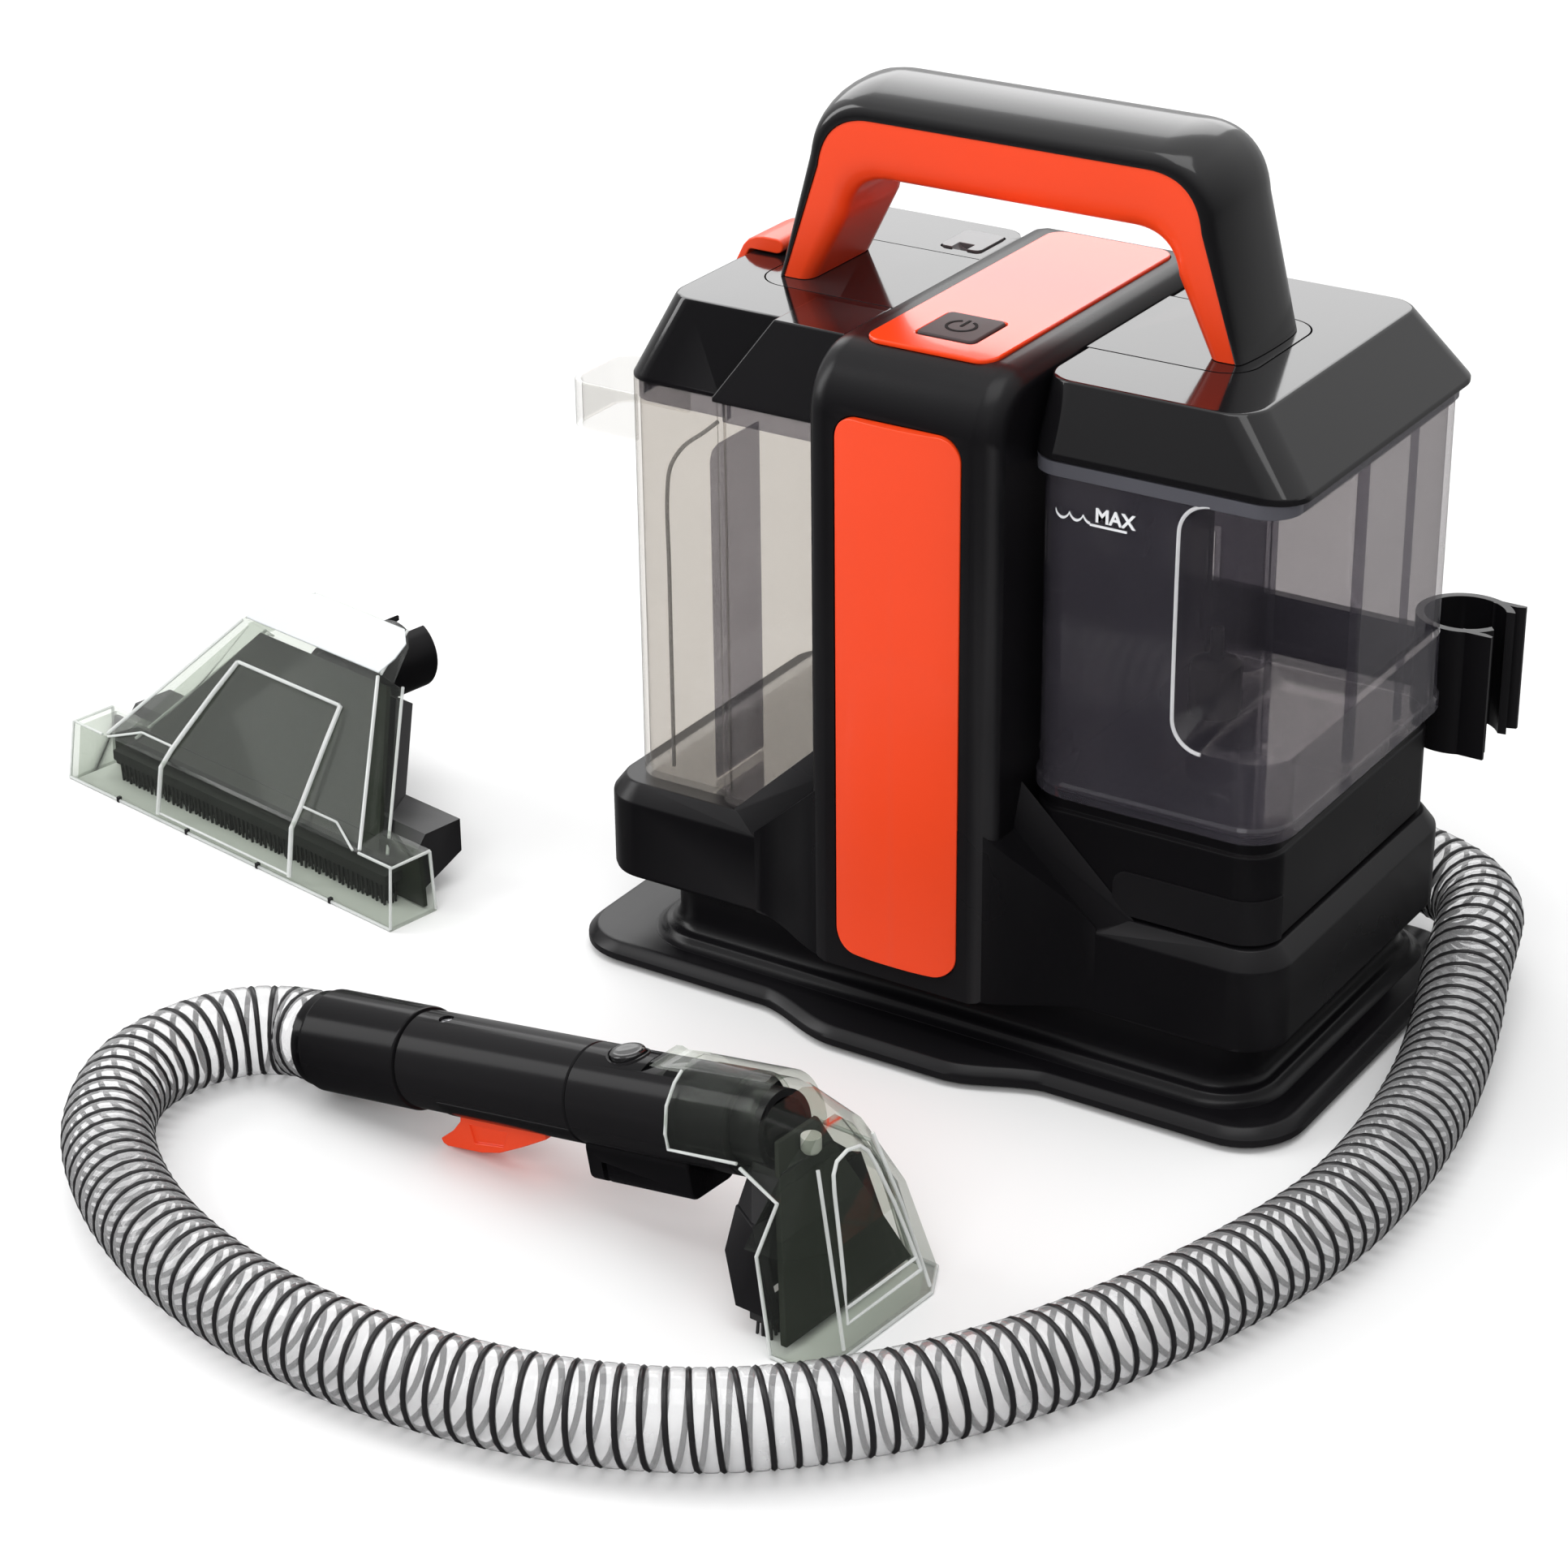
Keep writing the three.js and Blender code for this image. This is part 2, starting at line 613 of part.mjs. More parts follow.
function lidNotch(side) {
  const reach = SADDLE_REACH + 0.6;
  const half = SADDLE_HALF + 0.6;
  const depth = LID_TOP - SADDLE_THICK - 0.5;
  const plan = side < 0
    ? roundRect(-reach, -half, -20, half, 14)
    : roundRect(20, -half, reach, half, 14);
  return upZ(plan, depth, LID_TOP + 1);
}

const cleanLidBottom = CLEAN_TOP + GAP;

function cleanLidForm(inset) {
  const bottom = cleanLidBottom - (inset > 0 ? 1 : 0);
  const top = LID_TOP - inset * 1.5;
  const left = taper(
    insetRect({ x0: -151, y0: -75, x1: cleanInner, y1: 84, r: 12 }, inset),
    bottom,
    insetRect({ x0: -133, y0: -68, x1: cleanInner, y1: 78, r: 12 }, inset),
    top,
  );
  const right = hull([
    [cleanStep + inset, -79.5 + inset, bottom],
    [cleanInner - inset, -79.5 + inset, bottom],
    [-78 + inset, -73 + inset, top],
    [cleanInner - inset, -73 + inset, top],
    [cleanStep + inset, -40, bottom],
    [cleanInner - inset, -40, bottom],
    [-78 + inset, -40, top],
    [cleanInner - inset, -40, top],
  ]);
  return join(left, right);
}

function cleanLid() {
  const flapSeat = upZ(roundRect(-69, 42, -49, 66, 3), LID_TOP - 2.5, LID_TOP + 1);
  const flapHole = upZ(roundRect(-66, 45, -52, 61, 3), LID_TOP - 8, LID_TOP + 1);
  return cut(cleanLidForm(0), cleanLidForm(2.6), lidNotch(-1), flapSeat, flapHole);
}

// The notch floor needs material under it, so the lid's hollow stops below the saddle.
function lidRoof(side) {
  const z0 = LID_TOP - SADDLE_THICK - 3.5;
  const z1 = LID_TOP - SADDLE_THICK - 0.5;
  const x0 = side < 0 ? -SADDLE_REACH - 3.6 : COLUMN_HALF + 1;
  const x1 = side < 0 ? cleanInner : SADDLE_REACH + 3.6;
  const roof = box(x0, x1, -SADDLE_HALF - 3.6, SADDLE_HALF + 3.6, z0, z1);
  const wallBox = box(x0, x1, -SADDLE_HALF - 3.6, SADDLE_HALF + 3.6, z0, LID_TOP - 1);
  return join(roof, cut(wallBox, lidNotch(side)));
}

piece(machine, 'clean_tank_lid', join(cleanLid(), lidRoof(-1)), glossBlack);

const gripOuter = roundRect(-187, -66, -145, -24, 10);
const gripInner = roundRect(-184, -63, -140, -27, 7);
piece(machine, 'clean_tank_grip', cut(
  upZ(gripOuter, 231, 252),
  upZ(gripInner, 230, 253),
  box(-151 - GAP, -130, -80, 0, 230, 253),
  box(-155, -140, -62, -28, 230, 253),
), smoke);
piece(machine, 'clean_tank_valve', cut(
  rod('x', PORT_CLEAN.r, cleanInner - 12, -COLUMN_HALF + 6, PORT_CLEAN.y, PORT_CLEAN.z, 20),
  rod('x', 3.5, cleanInner - 13, -COLUMN_HALF + 7, PORT_CLEAN.y, PORT_CLEAN.z, 16),
), white);
const fillerFlap = upZ(roundRect(-68.6, 42.4, -49.4, 65.6, 3), LID_TOP - 2.2, LID_TOP + 0.8);
piece(machine, 'filler_flap', fillerFlap, greyPlastic);
const latchShape = outline([
  [-120.5, 307.2],
  [-127, 307.2],
  [-133.5, 305.5],
  [-137.2, 302.1],
  [-154.6, 268.1],
  [-153.8, 265.4],
  [-151.6, 266],
  [-134.2, 300.6],
  [-133, 300.9],
  [-120.5, 300.8],
  [-118.2, 301.8],
  [-117.3, 304],
  [-118.2, 306.2],
]);
piece(machine, 'clean_tank_latch', alongY(latchShape, -4, 26), orange);

// ---------------------------------------------------------------- dirty tank (right)
const dirtyInner = COLUMN_HALF + 1;
const RECESS_LEFT = 112; // the hand recess takes everything right of this ...
const RECESS_BACK = -4.5; // ... and in front of this
const RECESS_FLOOR = 163;
const RECESS_TOP = 265.5;

function dirtyTank() {
  const wall = TANK_WALL;
  const belly = { x0: dirtyInner, y0: -85, x1: 158, y1: 86, r: 20 };
  const frontPart = { x0: dirtyInner, y0: -85, x1: RECESS_LEFT, y1: 86, r: 7 };
  const rearPart = { x0: RECESS_LEFT - 30, y0: RECESS_BACK, x1: 153, y1: 86, r: 7 };
  const rimPart = { x0: dirtyInner, y0: -85, x1: 156, y1: 86, r: 14 };
  const bottom = 128;
  const outer = join(
    upZ(insetRect(belly, 0), bottom, RECESS_FLOOR),
    upZ(insetRect(frontPart, 0), bottom, DIRTY_TOP),
    upZ(insetRect(rearPart, 0), bottom, DIRTY_TOP),
    upZ(insetRect(rimPart, 0), RECESS_TOP, DIRTY_TOP),
  );
  return cut(
    outer,
    upZ(insetRect(belly, wall), bottom + wall, RECESS_FLOOR - wall),
    upZ(insetRect(frontPart, wall), bottom + wall, DIRTY_TOP + 1),
    upZ(insetRect(rearPart, wall), bottom + wall, DIRTY_TOP + 1),
    rod('x', PORT_DIRTY.r + GAP, dirtyInner - 1, dirtyInner + 5, PORT_DIRTY.y, PORT_DIRTY.z),
  );
}

piece(machine, 'dirty_tank', dirtyTank(), smoke);
const dirtyBasePlan = { x0: dirtyInner, y0: SKIN.y0 + RIM_IN + 0.5, x1: 153.5, y1: 81.5, r: 16 };
piece(machine, 'dirty_tank_base', cut(
  upZ(insetRect(dirtyBasePlan, 0), TANK_BOTTOM, 128 - GAP),
  upZ(insetRect(dirtyBasePlan, TANK_WALL), TANK_BOTTOM + TANK_WALL, 130),
), satinBlack);

function dirtyLidForm(inset) {
  const bottom = DIRTY_TOP + GAP - (inset > 0 ? 1 : 0);
  return taper(
    insetRect({ x0: dirtyInner, y0: -85, x1: 160, y1: 86, r: 14 }, inset),
    bottom,
    insetRect({ x0: dirtyInner, y0: -73, x1: 135, y1: 81, r: 14 }, inset),
    LID_TOP - inset * 1.5,
  );
}

piece(machine, 'dirty_tank_lid', join(
  cut(dirtyLidForm(0), dirtyLidForm(2.6), lidNotch(1)),
  lidRoof(1),
), glossBlack);

const floatX = 84;
const pipeX = 70;
const armStart = COLUMN_HALF - 7; // the arm plugs into the duct, inside the column
const standArm = rod('x', PORT_DIRTY.r, armStart, pipeX + 4, PORT_DIRTY.y, PORT_DIRTY.z);
const standPipe = rod('z', 12, 134, PORT_DIRTY.z + 30, pipeX, PORT_DIRTY.y);
const standBore = rod('z', 9.5, 133, PORT_DIRTY.z + 26, pipeX, PORT_DIRTY.y);
const armBore = rod('x', PORT_DIRTY.r - 2.5, 30, pipeX, PORT_DIRTY.y, PORT_DIRTY.z);
piece(machine, 'dirty_standpipe', cut(join(standArm, standPipe), standBore, armBore), smoke);
piece(machine, 'float_ball', join(
  rod('z', 11, 132, 158, floatX, 10, 20),
  rod('z', 3, 157, 172, floatX, 10, 12),
), greyPlastic);

// ---------------------------------------------------------------- hose
// Hand-placed centreline, from the outlet at the back, over the rest, down to the floor at the
// right rear corner, round in front of the machine and up into the wand's cuff.
const hoseRoute = [
  [hoseStartX, hoseStartY, outletZ],
  [-100, hoseStartY, outletZ],
  [-80, 112.3, 62],
  [-50, 112.3, 69],
  [-18, 112.3, 71.5],
  [15, 112.3, 69],
  [48, 112.3, 60],
  [80, 112.3, 48],
  [108, 112, 39],
  [132, 110, 33.5],
  [152, 106, 31.5],
  [167, 98, 31],
  [177.5, 85, 31],
  [184, 66, 30.5],
  [191, 40, 27.5],
  [201, 8, 22.5],
  [212, -35, HOSE_AXIS_Z],
  [220, -90, HOSE_AXIS_Z],
  [220, -148, HOSE_AXIS_Z],
  [208, -203, HOSE_AXIS_Z],
  [189, -256, HOSE_AXIS_Z],
  [165, -304, HOSE_AXIS_Z],
  [133, -347, HOSE_AXIS_Z],
  [95, -381, HOSE_AXIS_Z],
  [50, -403, HOSE_AXIS_Z],
  [0, -415, HOSE_AXIS_Z],
  [-50, -418, HOSE_AXIS_Z],
  [-100, -412, HOSE_AXIS_Z],
  [-147, -397, HOSE_AXIS_Z],
  [-188, -374, HOSE_AXIS_Z],
  [-220, -345, HOSE_AXIS_Z],
  [-237, -312, HOSE_AXIS_Z],
  [-236, -281, HOSE_AXIS_Z],
  [-223, -257, HOSE_AXIS_Z],
  [-206.1, -246.2, 19.4],
  [-188.3, -247.97, 22.45],
];
const hoseCurve = new THREE.CatmullRomCurve3(
  hoseRoute.map(([x, y, z]) => new THREE.Vector3(x, y, z)),
  false,
  'centripetal',
);
const hoseSection = new THREE.Shape();
for (let side = 0; side < 10; side += 1) {
  const angle = (side / 10) * Math.PI * 2;
  const point = [HOSE_RADIUS * Math.cos(angle), HOSE_RADIUS * Math.sin(angle)];
  if (side === 0) hoseSection.moveTo(...point);
  else hoseSection.lineTo(...point);
}
hoseSection.closePath();
const hoseSolid = new THREE.ExtrudeGeometry(hoseSection, { steps: 44, extrudePath: hoseCurve });
piece(machine, 'suction_hose', hoseSolid, hoseClear);

// ---------------------------------------------------------------- wand
const wand = new THREE.Group();
wand.position.set(WAND.x, WAND.y, 0);
wand.rotation.z = rad(WAND.heading);
machine.add(wand);

// The grip tube's own axis: along +X, tilted up towards the nozzle.
const grip = new THREE.Group();
grip.position.z = WAND.axisZ;
grip.rotation.y = rad(-WAND.tilt);
wand.add(grip);

const cuffLength = 60;
const bodyEnd = 152;
const frontEnd = 232;
piece(grip, 'wand_cuff', cut(
  join(rod('x', WAND_RADIUS + 1.2, 6, cuffLength, 0, 0, 28), rod('x', WAND_RADIUS, 0, 7, 0, 0, 28)),
  rod('x', 15, -1, cuffLength + 1, 0, 0),
), satinBlack);
piece(grip, 'wand_body', cut(
  rod('x', WAND_RADIUS, cuffLength + GAP, bodyEnd, 0, 0, 28),
  rod('x', 16, cuffLength - 1, bodyEnd + 1, 0, 0),
  box(63, 129, -8, 8, -24, -8),
), satinBlack);
const releaseBox = alongX(roundRect(-13, -32, 13, -14, 4), bodyEnd + GAP, 205);
piece(grip, 'wand_front', cut(
  join(rod('x', WAND_RADIUS, bodyEnd + GAP, frontEnd, 0, 0, 28), releaseBox),
  rod('x', 16, bodyEnd - 1, frontEnd + 1, 0, 0),
  rod('z', 7.5, 10, 24, 172, 0, 20),
), satinBlack);
const triggerShape = outline([
  [80, -17],
  [66, -31],
  [69, -34],
  [96, -33],
  [126, -21.5],
  [126, -15],
  [119, -13],
  [80, -13],
]);
piece(grip, 'trigger', alongY(triggerShape, -7.4, 7.4), orange);
piece(grip, 'trigger_valve', join(
  rod('x', 5, 66, 112, 0, 4, 16),
  rod('x', 2.5, 62, 148, 0, 4, 12),
), white);
piece(grip, 'release_button', rod('z', 7, 17.4, 21.6, 172, 0, 20), glossBlack);

// ---------------------------------------------------------------- small nozzle on the wand
function headHulls(inset) {
  // Half sections of the clear head, from the grip tube round the bend to the mouth.
  const i = inset;
  const open = inset > 0 ? 7 : 0;
  const neck = [[238 - open, 22 - i, 60], [238 - open, 22 - i, 72], [238 - open, 12 - i, 83 - i]];
  const bend = [[261 - open, 28 - i, 56], [269 - i, 16 - i, 70 - i], [264 - i, 8 - i, 80 - i]];
  const shoulder = [[258 - open, 39 - i, 38], [280 - i, 35 - i, 38]];
  const lip = [[268 - open, 43 - i, -open], [290 - i, 43 - i, -open]];
  return [
    hull(mirrored(neck.concat(bend))),
    hull(mirrored(bend.concat(shoulder))),
    hull(mirrored(shoulder.concat(lip))),
  ];
}

function tilted(geometry) {
  // A shape given in the grip's own axes, moved into the wand's level ones.
  return geometry.rotateY(rad(-WAND.tilt)).translate(0, 0, WAND.axisZ);
}

const saddleSleeve = tilted(cut(
  rod('x', WAND_RADIUS + 3, 206, 246, 0, 0, 28),
  box(200, 250, -30, 30, -30, -5),
));
const sleeveTab = tilted(box(190, 208, -8, 8, WAND_RADIUS + 0.6, WAND_RADIUS + 2.8));
const gripClear = tilted(rod('x', WAND_RADIUS + 0.4, 180, 234, 0, 0, 28));
const throat = tilted(rod('x', WAND_RADIUS - 0.2, 230, 250, 0, 0, 28));
piece(wand, 'nozzle_cover', cut(
  join(...headHulls(0), saddleSleeve, sleeveTab),
  ...headHulls(2.2),
  gripClear,
  throat,
), clearGrey);

const spigot = tilted(rod('x', 15.6, 216, 246, 0, 0));
const spigotBore = tilted(rod('x', 12.5, 215, 252, 0, 0));
const supportTop = hull(mirrored([
  [238, 15, 60],
  [238, 25, 44],
  [252, 15, 60],
  [252, 33, 44],
]));
const supportLow = hull(mirrored([
  [238, 25, 46],
  [238, 32, 30],
  [246, 36, 11],
  [252, 33, 46],
  [256, 35, 30],
  [264, 36, 11],
]));
const supportChannel = hull(mirrored([
  [244, 12, 56],
  [244, 28, 32],
  [250, 32, 9],
  [262, 12, 56],
  [262, 30, 32],
  [268, 32, 9],
]));
piece(wand, 'nozzle_support', cut(
  join(supportTop, supportLow, spigot),
  supportChannel,
  spigotBore,
), satinBlack);
piece(wand, 'nozzle_brush', box(252, 262, -35, 35, 0, 10.6), bristle);
piece(wand, 'spray_tip', rod('z', 4, 62, 70, 254, 0, 16), white);

// ---------------------------------------------------------------- loose wide nozzle
const wide = new THREE.Group();
wide.position.set(WIDE.x, WIDE.y, 0);
wide.rotation.z = rad(WIDE.heading);
machine.add(wide);

function wideHulls(inset) {
  const i = inset;
  const open = inset > 0 ? 6 : 0;
  const mouthBox = hull(mirroredX([
    [116 - i, i, -open],
    [116 - i, 28 + open, -open],
    [114 - i, 4 + i, 30 - i],
    [114 - i, 28 + open, 30 - i],
  ]));
  const slope = hull(mirroredX([
    [90 - i, 5 + i * 1.4, 28 - i],
    [90 - i, 22 + open, 20 - open],
    [48 - i, 60, 85 - i * 1.4],
    [48 - i, 73 + open, 73 - open],
  ]));
  const deck = hull(mirroredX([
    [48 - i, 60, 85 - i],
    [32 - i, 92 - i, 92 - i],
    [48 - i, 66 + open / 2, 74 - open],
    [32 - i, 92 - i, 82.5 - open],
  ]));
  return [mouthBox, slope, deck];
}

piece(wide, 'wide_cover', cut(join(...wideHulls(0)), ...wideHulls(2.4)), clearGrey);

const wideBack = hull(mirroredX([
  [84, 30, 26],
  [84, 36, 14],
  [42, 74, 66],
  [42, 84, 60],
]));
const wideBlock = hull(mirroredX([
  [104, 29, 26],
  [104, 34, 32],
  [104, 55, 32],
  [104, 55, 16],
  [104, 29, 4],
]));
const wideSocket = rod('y', 18, 72, 122, 0, 62, 24);
const wideBore = rod('y', 15.6, 71, 123, 0, 62, 24);
piece(wide, 'wide_body', cut(join(wideBack, wideBlock, wideSocket), wideBore), satinBlack);
piece(wide, 'wide_brush', box(-98, 98, 14, 24, 0, 16), bristle);

export default machine;
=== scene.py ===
"""A spot extractor: a carry-by-hand carpet and upholstery washer with two clear tanks,
a ribbed suction hose, a spray wand with a small nozzle, and a loose wide nozzle.
Lengths are metres. Shapes are drawn in the machine's own axes, which start on the floor
under the middle of its column, and then moved into the frame's."""

import math

import bmesh
import bpy
import numpy as np
from mathutils import Matrix, Vector


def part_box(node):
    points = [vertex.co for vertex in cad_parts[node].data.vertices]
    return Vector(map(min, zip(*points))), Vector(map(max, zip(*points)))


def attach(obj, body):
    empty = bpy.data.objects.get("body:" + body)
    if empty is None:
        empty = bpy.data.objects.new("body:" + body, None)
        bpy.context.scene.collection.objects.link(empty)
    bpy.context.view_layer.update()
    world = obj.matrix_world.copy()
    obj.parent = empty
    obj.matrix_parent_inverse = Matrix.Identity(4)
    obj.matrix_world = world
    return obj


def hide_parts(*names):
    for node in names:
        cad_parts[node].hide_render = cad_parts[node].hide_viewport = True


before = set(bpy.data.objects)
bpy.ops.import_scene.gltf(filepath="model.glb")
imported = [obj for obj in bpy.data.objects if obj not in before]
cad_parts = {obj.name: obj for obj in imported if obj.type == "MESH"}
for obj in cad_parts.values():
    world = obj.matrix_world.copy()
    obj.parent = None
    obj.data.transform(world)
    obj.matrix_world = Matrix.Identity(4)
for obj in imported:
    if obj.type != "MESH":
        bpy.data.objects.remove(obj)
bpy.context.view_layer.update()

# ---------------------------------------------------------------- studio
# The camera stands a little above the machine and to its right. A pale floor runs out of
# sight on every side, under white light and soft lamps behind, over and beside the machine.
CAMERA_PLACE = Vector((0.8728, -1.2118, 0.8160))
CAMERA_TURN = math.radians(32.92)
CAMERA_DROP = math.radians(26.23)
CAMERA_ROLL = math.radians(-0.66)

camera_data = bpy.data.cameras.new("camera")
camera_data.lens = 88.67
camera_data.sensor_width = 36
camera = bpy.data.objects.new("camera", camera_data)
bpy.context.scene.collection.objects.link(camera)
camera.matrix_world = (
    Matrix.Translation(CAMERA_PLACE)
    @ Matrix.Rotation(CAMERA_TURN, 4, "Z")
    @ Matrix.Rotation(math.radians(90) - CAMERA_DROP, 4, "X")
    @ Matrix.Rotation(CAMERA_ROLL, 4, "Z")
)
bpy.context.scene.camera = camera
bpy.context.scene.view_settings.view_transform = "Standard"


def new_material(name):
    """A material with its Principled shader and output, and its node tree to add to."""
    material = bpy.data.materials.new(name)
    material.use_nodes = True
    return material, material.node_tree, material.node_tree.nodes["Principled BSDF"]


def soft_lamp(name, place, aim, size, power):
    data = bpy.data.lights.new(name, "AREA")
    data.shape = "RECTANGLE"
    data.size, data.size_y = size
    data.energy = power
    lamp = bpy.data.objects.new(name, data)
    bpy.context.scene.collection.objects.link(lamp)
    lamp.location = place
    lamp.rotation_euler = (Vector(aim) - Vector(place)).to_track_quat("-Z", "Y").to_euler()
    return lamp


world = bpy.data.worlds.new("studio")
world.use_nodes = True
bpy.context.scene.world = world
# The room is bright above and behind the machine and darker, low down, in front of it.
sky, links = world.node_tree.nodes, world.node_tree.links
looked = sky.new("ShaderNodeTexCoord")
upward = sky.new("ShaderNodeVectorMath")
upward.operation = "DOT_PRODUCT"
upward.inputs[1].default_value = (-0.27, 0.42, 1.0)
links.new(looked.outputs["Generated"], upward.inputs[0])
glow = sky.new("ShaderNodeMapRange")
glow.inputs["From Min"].default_value = -0.35
glow.inputs["From Max"].default_value = 0.85
glow.inputs["To Min"].default_value = 0.04
glow.inputs["To Max"].default_value = 1.0
links.new(upward.outputs["Value"], glow.inputs["Value"])
links.new(glow.outputs["Result"], sky["Background"].inputs["Color"])
sky["Background"].inputs["Strength"].default_value = 0.92
front_fill = soft_lamp("front_fill", (0.9, -2.2, 1.5), (0, 0, 0.15), (1.6, 1.2), 26)
front_fill.visible_glossy = False
soft_lamp("back_softbox", (-1.1, 2.0, 1.5), (0.1, 0.1, 0.15), (2.4, 1.4), 20)
soft_lamp("left_softbox", (-2.0, -0.9, 1.4), (0.1, 0, 0.2), (0.8, 2.0), 22)
soft_lamp("top_softbox", (0.3, -0.3, 2.4), (0.1, 0, 0.1), (1.6, 1.6), 16)

floor_mesh = bpy.data.meshes.new("floor")
floor_reach = 12
floor_corners = [(-1, -1), (1, -1), (1, 1), (-1, 1)]
floor_mesh.from_pydata([(floor_reach * x, floor_reach * y, 0) for x, y in floor_corners], [], [(0, 1, 2, 3)])
floor = bpy.data.objects.new("floor", floor_mesh)
bpy.context.scene.collection.objects.link(floor)
floor_paint, _, floor_shader = new_material("floor_paint")
floor_shader.inputs["Base Color"].default_value = (0.9, 0.9, 0.9, 1)
floor_shader.inputs["Roughness"].default_value = 0.75
floor_shader.inputs["Specular IOR Level"].default_value = 0.15
floor_mesh.materials.append(floor_paint)
floor.visible_glossy = False

# ---------------------------------------------------------------- suction hose
# Clear PVC hose, 38 mm across outside, blown round a stiff black helix that stands just
# proud of the wall. It leaves the spout at the back, lies over the rest, comes round the
# machine's right side and ends in the wand's cuff.
HOSE_RADIUS = 0.019
HELIX_PITCH = 0.0083
HELIX_RADIUS = 0.00125
HOSE_SIDES = 28
STEPS_PER_TURN = 12

_, plate_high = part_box("base_plate")
column_low, column_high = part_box("column_shell")
MACHINE = Vector(((column_low.x + column_high.x) / 2, plate_high.y - 0.1, 0))

hose_floor = 0.0194
hose_route = [
    (-0.1127, 0.1123, 0.056), (-0.100, 0.1123, 0.056), (-0.080, 0.1123, 0.062),
    (-0.050, 0.1123, 0.069), (-0.018, 0.1123, 0.0715), (0.015, 0.1123, 0.069),
    (0.048, 0.1123, 0.060), (0.080, 0.1123, 0.048), (0.108, 0.112, 0.039),
    (0.132, 0.110, 0.0335), (0.152, 0.106, 0.0315), (0.167, 0.098, 0.031),
    (0.1775, 0.085, 0.031), (0.184, 0.066, 0.0305), (0.191, 0.040, 0.0275),
    (0.201, 0.008, 0.0225), (0.212, -0.035, hose_floor), (0.220, -0.090, hose_floor),
    (0.220, -0.148, hose_floor), (0.208, -0.203, hose_floor), (0.189, -0.256, hose_floor),
    (0.165, -0.304, hose_floor), (0.133, -0.347, hose_floor), (0.095, -0.381, hose_floor),
    (0.050, -0.403, hose_floor), (0.000, -0.415, hose_floor), (-0.050, -0.418, hose_floor),
    (-0.100, -0.412, hose_floor), (-0.147, -0.397, hose_floor), (-0.188, -0.374, hose_floor),
    (-0.220, -0.345, hose_floor), (-0.237, -0.312, hose_floor), (-0.236, -0.281, hose_floor),
    (-0.223, -0.257, hose_floor), (-0.2061, -0.2462, 0.0194), (-0.1883, -0.24797, 0.02245),
]


def smooth_line(points, spacing):
    """Even points, spacing apart, on the centripetal Catmull-Rom curve through the points."""
    known = [Vector(p) for p in points]
    known = [known[0] * 2 - known[1], *known, known[-1] * 2 - known[-2]]
    dense = []
    for p0, p1, p2, p3 in zip(known, known[1:], known[2:], known[3:]):
        t1 = (p1 - p0).length ** 0.5
        t2 = t1 + (p2 - p1).length ** 0.5
        t3 = t2 + (p3 - p2).length ** 0.5
        for step in range(40):
            t = t1 + (t2 - t1) * step / 40
            a1 = p0.lerp(p1, t / t1)
            a2 = p1.lerp(p2, (t - t1) / (t2 - t1))
            a3 = p2.lerp(p3, (t - t2) / (t3 - t2))
            b1 = a1.lerp(a2, t / t2)
            b2 = a2.lerp(a3, (t - t1) / (t3 - t1))
            dense.append(b1.lerp(b2, (t - t1) / (t2 - t1)))
    dense.append(known[-2])
    line = np.array(dense)
    walked = np.concatenate([[0], np.cumsum(np.linalg.norm(np.diff(line, axis=0), axis=1))])
    count = round(walked[-1] / spacing)
    places = np.linspace(0, walked[-1], count + 1)
    even = np.stack([np.interp(places, walked, line[:, axis]) for axis in range(3)], axis=1)
    return even, walked[-1]


def carried_axes(line):
    """Two unit vectors across the line at each point, carried along it without twisting."""
    ahead = np.gradient(line, axis=0)
    ahead /= np.linalg.norm(ahead, axis=1)[:, None]
    across = np.cross(ahead[0], (0, 0, 1) if abs(ahead[0][2]) < 0.9 else (1, 0, 0))
    rows = []
    for direction in ahead:
        across = across - direction * np.dot(across, direction)
        across = across / np.linalg.norm(across)
        rows.append((across, np.cross(direction, across)))
    first, second = (np.array(column) for column in zip(*rows))
    return first, second


def add_piece(name, vertices, faces, smooth=True):
    mesh = bpy.data.meshes.new(name)
    mesh.from_pydata([tuple(v) for v in vertices], [], faces)
    mesh.validate()
    mesh.update()
    if smooth:
        mesh.shade_smooth()
    piece = bpy.data.objects.new(name, mesh)
    bpy.context.scene.collection.objects.link(piece)
    return piece


def tube_faces(rings, sides, capped=True):
    """Quads between rings of vertices that follow each other, with a face on each end."""
    faces = []
    for ring in range(rings - 1):
        for side in range(sides):
            a = ring * sides + side
            b = ring * sides + (side + 1) % sides
            faces.append((a, b, b + sides, a + sides))
    if capped:
        faces.append(tuple(reversed(range(sides))))
        faces.append(tuple(range((rings - 1) * sides, rings * sides)))
    return faces


hose_line, hose_length = smooth_line(
    [Vector(p) + MACHINE for p in hose_route], HELIX_PITCH / STEPS_PER_TURN
)
hose_across, hose_up = carried_axes(hose_line)
hose_count = len(hose_line)
ring_angle = np.arange(HOSE_SIDES) / HOSE_SIDES * math.tau
turned = np.arange(hose_count) / STEPS_PER_TURN * math.tau
# The wall bulges between the helix's turns and is drawn in where the helix holds it.
wave = np.cos(turned[:, None] - ring_angle[None, :])
wall = HOSE_RADIUS - 0.0006 - 0.0013 * np.clip(wave, 0, 1) ** 1.5
wall_points = hose_line[:, None, :] + wall[:, :, None] * (
    hose_across[:, None, :] * np.cos(ring_angle)[None, :, None]
    + hose_up[:, None, :] * np.sin(ring_angle)[None, :, None]
)
suction_hose = add_piece(
    "suction_hose_wall", wall_points.reshape(-1, 3), tube_faces(hose_count, HOSE_SIDES)
)

